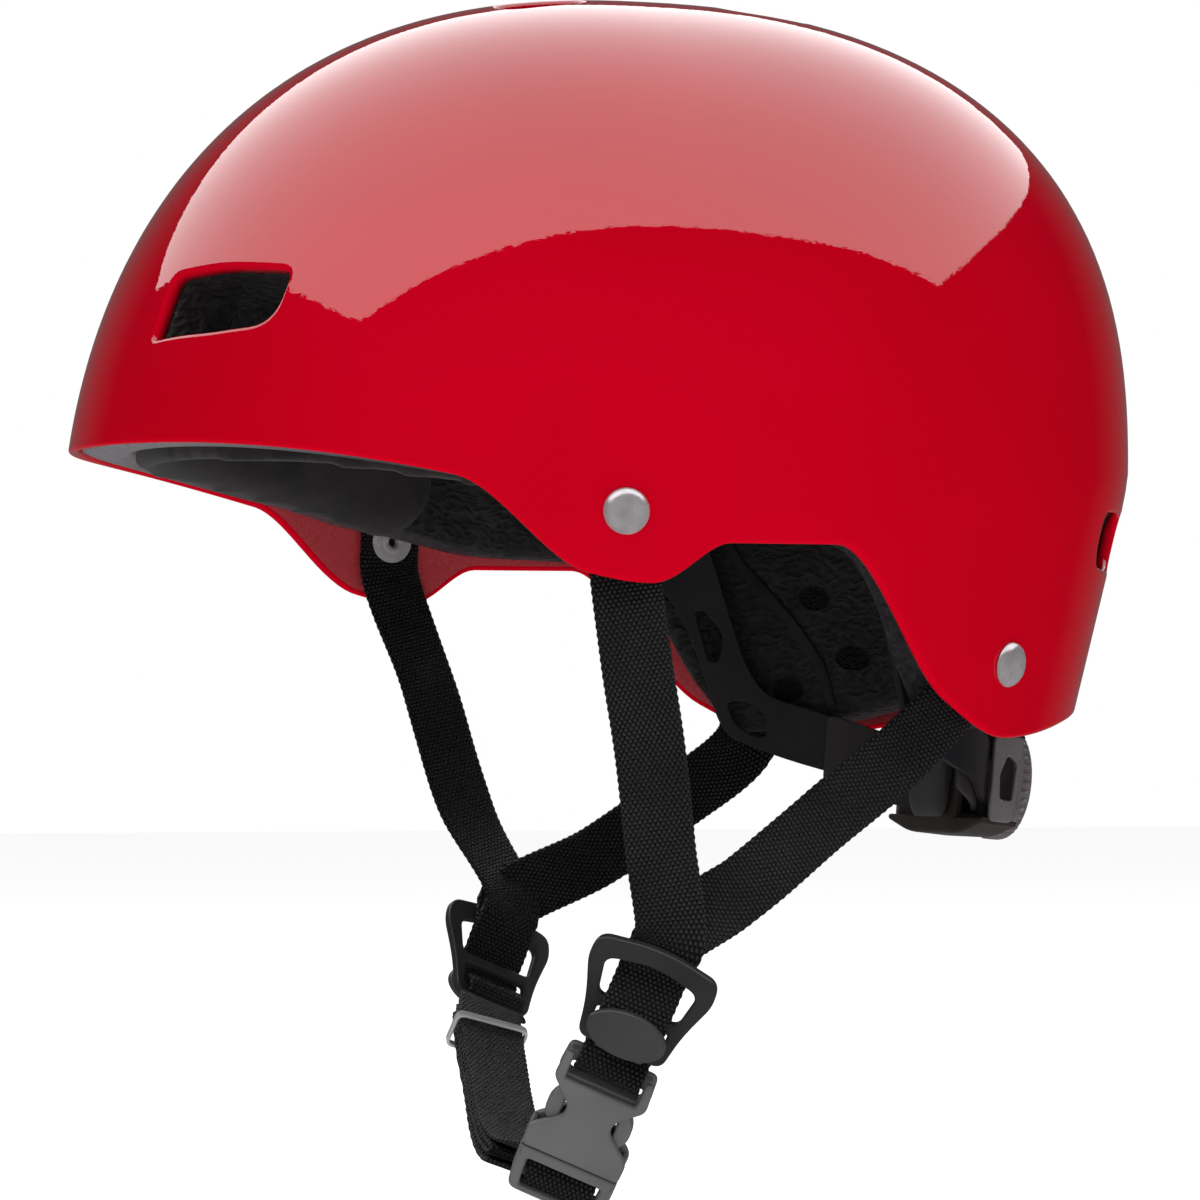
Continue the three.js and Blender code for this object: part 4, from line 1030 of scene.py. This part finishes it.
def puff(obj, cap):
    """Fills a closed form with air by cloth simulation, limited to `cap` mm of travel."""
    remesh = obj.modifiers.new("remesh", "REMESH")
    remesh.mode = "VOXEL"
    remesh.voxel_size = VOXEL
    settle(obj)
    start = np.array([v.co for v in obj.data.vertices])
    cloth = obj.modifiers.new("cloth", "CLOTH")
    cloth.settings.quality = 6
    cloth.settings.mass = 0.2
    cloth.settings.use_pressure = True
    cloth.settings.uniform_pressure_force = PUFF_PRESSURE
    cloth.settings.effector_weights.gravity = 0
    cloth.settings.tension_stiffness = cloth.settings.compression_stiffness = 25
    cloth.settings.bending_stiffness = 2
    for frame_number in range(1, PUFF_FRAMES + 1):
        bpy.context.scene.frame_set(frame_number)
    settle(obj)
    bpy.context.scene.frame_set(1)
    move = np.array([v.co for v in obj.data.vertices]) - start
    size = np.linalg.norm(move, axis=1)[:, None]
    end = start + move * np.minimum(1, cap * MM / np.maximum(size, 1e-9))
    obj.data.vertices.foreach_set("co", end.astype(np.float32).ravel())
    sub = obj.modifiers.new("smooth", "SUBSURF")
    sub.levels = sub.render_levels = 1
    settle(obj)
    for polygon in obj.data.polygons:
        polygon.use_smooth = True


def cushion(obj, cap, node):
    puff(obj, cap)
    tag(obj, node)


def pad_patch(phi0, phi1, low, high, columns, rows):
    """A closed patch that follows the liner: full in its middle, thin at its sewn edge."""
    us, vs = np.linspace(0, 1, columns), np.linspace(0, 1, rows)
    u, v = np.meshgrid(us, vs)
    phi = phi0 + (phi1 - phi0) * u
    end = np.clip((np.abs(u - 0.5) - 0.43) / 0.07, 0, 1)
    shrink = np.sqrt(np.maximum(1 - end**2, 0.06))
    lo, hi = low(phi), high(phi)
    z = (lo + hi) / 2 + (hi - lo) * (v - 0.5) * shrink
    edge = np.minimum(np.minimum(u, 1 - u) * columns / 3.0, np.minimum(v, 1 - v) * rows / 3.0)
    crown = 1 - (1 - np.clip(edge, 0, 1)) ** 2.2
    front = surface(phi, z, LINER_IN + 1.6 + 5.2 * crown)
    back = surface(phi, z, LINER_IN - 1.6)
    count = rows * columns
    faces = grid_faces(rows, columns)
    faces += [tuple(i + count for i in f[::-1]) for f in faces]
    ring = [*range(columns), *range(2 * columns - 1, count, columns)]
    ring += [*range(count - 2, count - columns - 1, -1), *range(count - 2 * columns, 0, -columns)]
    for a, b in zip(ring, ring[1:] + ring[:1]):
        faces.append((b, a, a + count, b + count))
    return np.concatenate([front.reshape(-1, 3), back.reshape(-1, 3)]), faces


def add_pads():
    def low(phi):
        return rim_height(LINER_RIM, phi) - 4 + 2 * np.sin(phi)

    def level(z):
        return lambda phi: np.full(np.shape(phi), float(z))

    specs = [("brow", -168, -12, low, level(24), 90, 16), ("left_side", 14, 62, level(8), level(48), 26, 14),
             ("right_side", 118, 166, level(8), level(48), 26, 14)]
    for name, start, end, bottom, top, columns, rows in specs:
        verts, faces = pad_patch(rad(start), rad(end), bottom, top, columns, rows)
        cushion(recalculated(put(name + "_cushion", verts, faces, CLOTH)), 2.2, name + "_pad")
    top = CROWN - LINER_IN - 2
    profile = [(0, 0), (11, 0), (14, 0.8), (15, 2.4), (14, 4.6), (10, 6.4), (0, 6.9)]
    cushion(turned("crown_cushion", [(r, top - h) for r, h in profile], np.eye(4), CLOTH), 1.2, "crown_pad")
    outline = rounded(rectangle(-13.5, -11.5, 13.5, 9.5, 5))
    nape = slab("nape_cushion", [outline], -97, -93.4, 1.7, ACROSS, CLOTH, "nape_cradle")
    cushion(nape, 1.0, "nape_pad")


# ---- Webbing ----
class Line:
    """A centripetal Catmull-Rom line through (point, across) stations."""

    def __init__(self, stations):
        self.points = np.array([p for p, _ in stations], float)
        self.sides = np.array([a for _, a in stations], float)

    def at(self, share):
        p, last = self.points, len(self.points) - 1
        i = min(int(share * last), last - 1)
        w = share * last - i
        p1, p2 = p[i], p[i + 1]
        p0 = p[i - 1] if i > 0 else 2 * p[0] - p[1]
        p3 = p[i + 2] if i + 2 <= last else 2 * p[last] - p[last - 1]
        d0, d1, d2 = (max(np.linalg.norm(b - a) ** 0.5, 1e-4) for a, b in ((p0, p1), (p1, p2), (p2, p3)))
        t1 = ((p1 - p0) / d0 - (p2 - p0) / (d0 + d1) + (p2 - p1) / d1) * d1
        t2 = ((p2 - p1) / d1 - (p3 - p1) / (d1 + d2) + (p3 - p2) / d2) * d1
        w2, w3 = w * w, w**3
        return p1 + t1 * w + (-3 * p1 + 3 * p2 - 2 * t1 - t2) * w2 + (2 * p1 - 2 * p2 + t1 + t2) * w3

    def frame(self, share):
        """Columns: across the webbing, out of its face, along it, and the point."""
        last = len(self.points) - 1
        i = min(int(share * last), last - 1)
        step = 1e-4
        along = unit(self.at(min(share + step, 1)) - self.at(max(share - step, 0)))
        across = self.sides[i] + (self.sides[i + 1] - self.sides[i]) * (share * last - i)
        across = unit(across - along * (across @ along))
        return axes(across, np.cross(along, across), along, self.at(share))


def ribbon(name, frames, material, node=None, body="helmet", mirror=False, width=WEB_WIDTH,
           thick=WEB_THICK, seed=0.0):
    """Flat webbing through frames, with plump selvedges that step in and out with each weft."""
    frames = np.array(frames)
    arc = run(frames[:, :3, 3])
    half, h = width / 2, thick / 2
    edge = [(half - 0.1, 0.3 * h), (half - 0.5, 0.86 * h), (half - 1.3, h), (half / 2, 0.93 * h)]
    top = [(-x, y) for x, y in edge] + [(0, 0.9 * h)] + edge[::-1]
    section = np.array(top + [(x, -y) for x, y in reversed(top)])
    count = len(section)
    verts, uv = [], []
    for m, s in zip(frames, arc):
        weft = 0.13 * math.cos(2 * pi * s / (2 * WEAVE_ALONG))
        sway = 0.16 * math.sin(s * 0.11 + seed) + 0.1 * math.sin(s * 0.23 + 2 * seed)
        a = section[:, 0] * (1 + (weft * (np.abs(section[:, 0]) > half - 1) - 0.05) / half)
        roll = sway * section[:, 0] / half
        verts.append(place(m, np.column_stack([a, section[:, 1] + roll, np.zeros(count)])))
        uv += [(x, s) for x, _ in section]
    total = len(frames)
    faces = grid_faces(total, count, wrap=True)
    faces += [tuple(range(count))[::-1], tuple(range((total - 1) * count, total * count))]
    tag(put(name, np.concatenate(verts), faces, material, body, mirror, uv), node)


def even_frames(line, spacing=0.52):
    """Frames along a line at an even spacing."""
    shares = np.linspace(0, 1, 600)
    arc = run(np.array([line.at(s) for s in shares]))
    count = max(8, int(arc[-1] / spacing))
    return [line.frame(s) for s in np.interp(np.linspace(0, arc[-1], count), arc, shares)]


def guide_frame(origin, across, up):
    return facing(origin, unit(np.cross(across, up)), unit(np.array(up)))


HARNESS = {
    "left": {
        "guide": guide_frame((88, -14, -135), (0.28, 0.865, -0.41), (0.534, 0.2, 0.823)),
        "front": [(102.5, -24, -58), (97, -18.5, -81), (92, -14, -106)],
        "rear": [(83.5, 52, -83), (85, 33.5, -97), (86, 9, -116)],
        "slant": (-0.85, -0.53),
        "lift": {"front": 0.0, "rear": 1.6}},
    "right": {
        "guide": guide_frame((80, -4, -131), (0.17, 0.93, -0.32), (0.53, 0.25, 0.81)),
        "front": [(98, -19.5, -62), (90.5, -10, -98)],
        "rear": [(82, 69.5, -80), (83.5, 49, -96), (85, 27, -111)],
        "slant": (-0.5, -0.87),
        "lift": {"front": 1.6, "rear": 0.0}},
}
BUCKLE_FRAME = moved(HARNESS["left"]["guide"], (0, -30.2, -1))
WINDOW_Y = -36.4


def through_guide(guide, lift, more=()):
    path = [(0.5, 7, -3.2 - 1.5 * lift), (0, -1.2, -2.6 - 1.2 * lift), (0, -7, 0.6 - 1.1 * lift),
            (0, -12.2, 3.65 - lift), (0, -16.2, 3.65 - lift), *more]
    return [(p, guide[:3, 0]) for p in place(guide, path)]


def under_rivet(at, heading, shares):
    m = on_wall(*at, WEB_SEAT + 0.6)
    points = place(m, [(heading[0] * s, heading[1] * s, 0) for s in shares])
    across = m[:3, :3] @ np.array([-heading[1], heading[0], 0.0])
    return [(p, across) for p in points]


def add_harness():
    under = [(0, -18.4, 1.8), (0, -20, -1.5), (0, -22.4, -3.3), (0, -25.6, -3)]
    onwards = {"left": [*under, (0, -28.6, 0.8), (0, -30.8, 1.6), (0, -33, 1.6), (0, -35.6, -1.4)],
               "right": under}
    for side, mirror in SIDES:
        h = HARNESS[side]
        guide, lift = h["guide"], h["lift"]
        line = Line([*under_rivet(RIVETS["front"], (0, -1), (-8.5, 0, 9)),
                     *[(p, (0.15, 0.95, -0.2)) for p in h["front"]],
                     *through_guide(guide, lift["front"], onwards[side])])
        ribbon(side + "_front_webbing", even_frames(line), WEB, node=side + "_front_strap", mirror=mirror,
               seed=1.0 + mirror)
        start = under_rivet(RIVETS["rear"], h["slant"], (-8.5, 0, 9))
        side_on = start[0][1] + (guide[:3, 0] - start[0][1]) * 0.4
        line = Line([*start, *[(p, side_on) for p in h["rear"]], *through_guide(guide, lift["rear"])])
        ribbon(side + "_rear_webbing", even_frames(line), WEB, node=side + "_rear_strap", mirror=mirror,
               seed=3.0 + mirror)


FOLD_STEP = 2.05


def add_chin_strap():
    guide = HARNESS["right"]["guide"]
    flip = np.array([-1.0, 1, 1])
    start = place(guide, (0, -29, -3.6))[0] * flip
    end_side = BUCKLE_FRAME[:3, 0]
    middle = [(-48, -16, -151), (-15, -23, -170), (17, -27.5, -184)]
    ends = place(BUCKLE_FRAME, [(0, WINDOW_Y - 0.6, -8), (0, WINDOW_Y - 1.2, -4.7)])
    line = Line([(start, guide[:3, 0] * flip), *[(p, end_side) for p in (*middle, *ends)]])
    ribbon("chin_webbing", even_frames(line), WEB, node="right_chin_strap", body="chin_strap", seed=5)
    # The spare end is folded back and forth under the strap, in loops of uneven length.
    frames = []
    for k, (a, b) in enumerate([(0.12, 0.60), (0.585, 0.14), (0.155, 0.615)]):
        lift = -2.0 - FOLD_STEP * k
        for s in np.linspace(a, b, 60):
            frames.append(moved(line.frame(s), (0, lift - 0.25 * math.sin(s * 22 + k), 0)))
        if k < 2:
            reach = 2.4 if b > a else -2.4
            for turn in np.linspace(0.3, pi - 0.3, 9):
                step = (0, lift - FOLD_STEP / 2 * (1 - math.cos(turn)), reach * math.sin(turn))
                frames.append(moved(line.frame(b), step))
    ribbon("spare_webbing", frames, WEB, node="spare_strap_end", body="chin_strap", width=17.2, thick=1.3,
           seed=7)
    outer = rounded(rectangle(-10.4, -9.2, 10.4, 1.9, 2.4), 8)
    inner = rounded(rectangle(-9.5, -8.3, 9.5, 1.0, 1.6), 8)
    band = slab("keeper_band", [outer, inner], -1.3, 1.3, 0.42, line.frame(0.27), BAND, "keeper")
    tag(band, "strap_keeper")


# ---- Strap guides and lock levers ----
def two_sided(half):
    """The right half of an outline and its mirror image."""
    return half + [(-x, y, r) for x, y, r in reversed(half)]


def add_guides():
    outline = rounded([(-17, -3, 4), (-16, 3, 4), (0, 6, 10), (16, 3, 4), (17, -3, 4), (13, -15, 5),
                       (11.4, -25.5, 3), (-11.4, -25.5, 3), (-13, -15, 5)], 8)
    windows = [[(-12.6, -2.2, 3), (0, 0.8, 6), (12.6, -2.2, 3), (10.8, -12.5, 2), (-10.8, -12.5, 2)],
               [(-9.6, -15.6, 1), (9.6, -15.6, 1), (9.5, -21.8, 1), (-9.5, -21.8, 1)]]
    angle = np.linspace(0, 2 * pi, 64, endpoint=False)
    oval = np.column_stack([10.6 * np.cos(angle), -17.6 + 6.4 * np.sin(angle)])
    for side, mirror in SIDES:
        m, lever = HARNESS[side]["guide"], side + "_lever"
        frame_piece = weighted(slab(side + "_guide_frame", [outline, *map(rounded, windows)], -1.4, 1.4, 0.7, m,
                                    GUIDE, "helmet", mirror))
        tag(frame_piece, side + "_strap_guide")
        cap = weighted(slab(side + "_lever_cap", [oval], 4.7, 7.2, 0.9, m, LEVER, lever, mirror, steps=5))
        tag(cap, side + "_lock_lever")
        foot = rounded(rectangle(-6.5, -24.4, 6.5, -21.4, 1))
        tag(slab(side + "_lever_foot", [foot], 1.9, 5.2, 0.5, m, LEVER, lever, mirror))


# ---- Buckle ----
def add_buckle():
    m = BUCKLE_FRAME

    def piece(name, loops, low, high, bevel, body="helmet", node=None):
        obj = weighted(slab(name, [rounded(loop) for loop in loops], low, high, bevel, m, BUCKLE, body))
        tag(obj, node)

    waist = [(13.3, -30, 1.5), (13.5, -24, 2), (9.4, -20.5, 2), (6.3, -17.5, 2), (6.3, -14.5, 2),
             (10, -10.5, 2)]
    outline = two_sided([*waist, (12.6, -8, 2), (12, 0, 2)])
    # The face is notched at the top, where the webbing runs over the bar and into the slot.
    notch = [(12.6, -8, 2), (12, 0, 1.2), (9.9, 0, 0.8), (9.7, -7.6, 0.8)]
    slot = rectangle(-9.7, -7.4, 9.7, -3.4, 0.8)
    neck = [(10.6, -10.6, 0.8), (12, -8.4, 1), (11.4, -0.4, 1)]
    piece("socket_face", [two_sided([*waist, *notch])], 1.6, 4.0, 0.9, node="buckle_socket")
    piece("socket_back", [outline, slot], -4.0, -1.8, 0.7)
    piece("socket_neck", [two_sided(neck), slot], -2.4, 0.9, 0.4)
    for i, (x0, x1) in enumerate([(-13.1, -11.8), (11.8, 13.1)]):
        piece(f"socket_rail_{i}", [rectangle(x0, -29.6, x1, -23.2, 0.5)], -2.4, 2.4, 0.2)

    top = -30.3
    head = two_sided([(12.2, top - 13, 2.5), (13.3, top - 5, 2), (13.3, top, 0.5)])
    window = [(-9.6, top - 11.6, 1), (9.6, top - 11.6, 1), (10.2, top - 3.2, 1), (-10.2, top - 3.2, 1)]
    piece("plug_head", [head, window], -4.0, 4.0, 1.0, "plug", "buckle_plug")
    piece("plug_bar", [rectangle(-10.4, WINDOW_Y - 3.9, 10.4, WINDOW_Y - 1.6, 0.9)], -1.1, 1.1, 0.9, "plug")
    piece("plug_tongue", [rectangle(-2, top - 1, 2, -11, 1)], -1.9, 1.9, 0.5, "plug")
    # The webbing's turn round the plug's bar, which fills the window.
    turn = [(0, top - 3.9, -3.2), (0, top - 3.9, -0.6), (0, top - 4.0, 1.5), (0, top - 5.6, 2.5),
            (0, top - 8, 2.7), (0, top - 10.2, 2.2), (0, top - 11, 0.5), (0, top - 10.9, -3.2)]
    line = Line([(p, m[:3, 0]) for p in place(m, turn)])
    ribbon("plug_webbing", even_frames(line), WEB, body="plug", width=18.4, seed=2)
    prong = [(6, -30, 0.8), (8.6, -30, 0.8), (9, -22.5, 2), (11.3, -19.5, 2), (11.5, -15, 2.4),
             (8.9, -10.8, 2), (7, -11.4, 1), (7.2, -20, 2)]
    for name, sign in (("rear", 1), ("front", -1)):
        shape = [(sign * x, y, r) for x, y, r in prong]
        piece(name + "_prong_bar", [shape], -2.2, 2.2, 0.9, name + "_catch", name + "_prong")


# ---- CAD nodes that stay in view keep their shape and take a finish ----
def dress_cad():
    for node in ("left_anchor_stud", "right_anchor_stud", "drive_pinion"):
        obj = bpy.data.objects.get(node)
        if obj:
            obj.data.materials.clear()
            obj.data.materials.append(CRADLE_PLASTIC)


add_stage()
add_shell()
add_liner()
add_rivets()
add_cradle()
add_housing()
add_dial()
add_pads()
add_harness()
add_chin_strap()
add_guides()
add_buckle()
dress_cad()
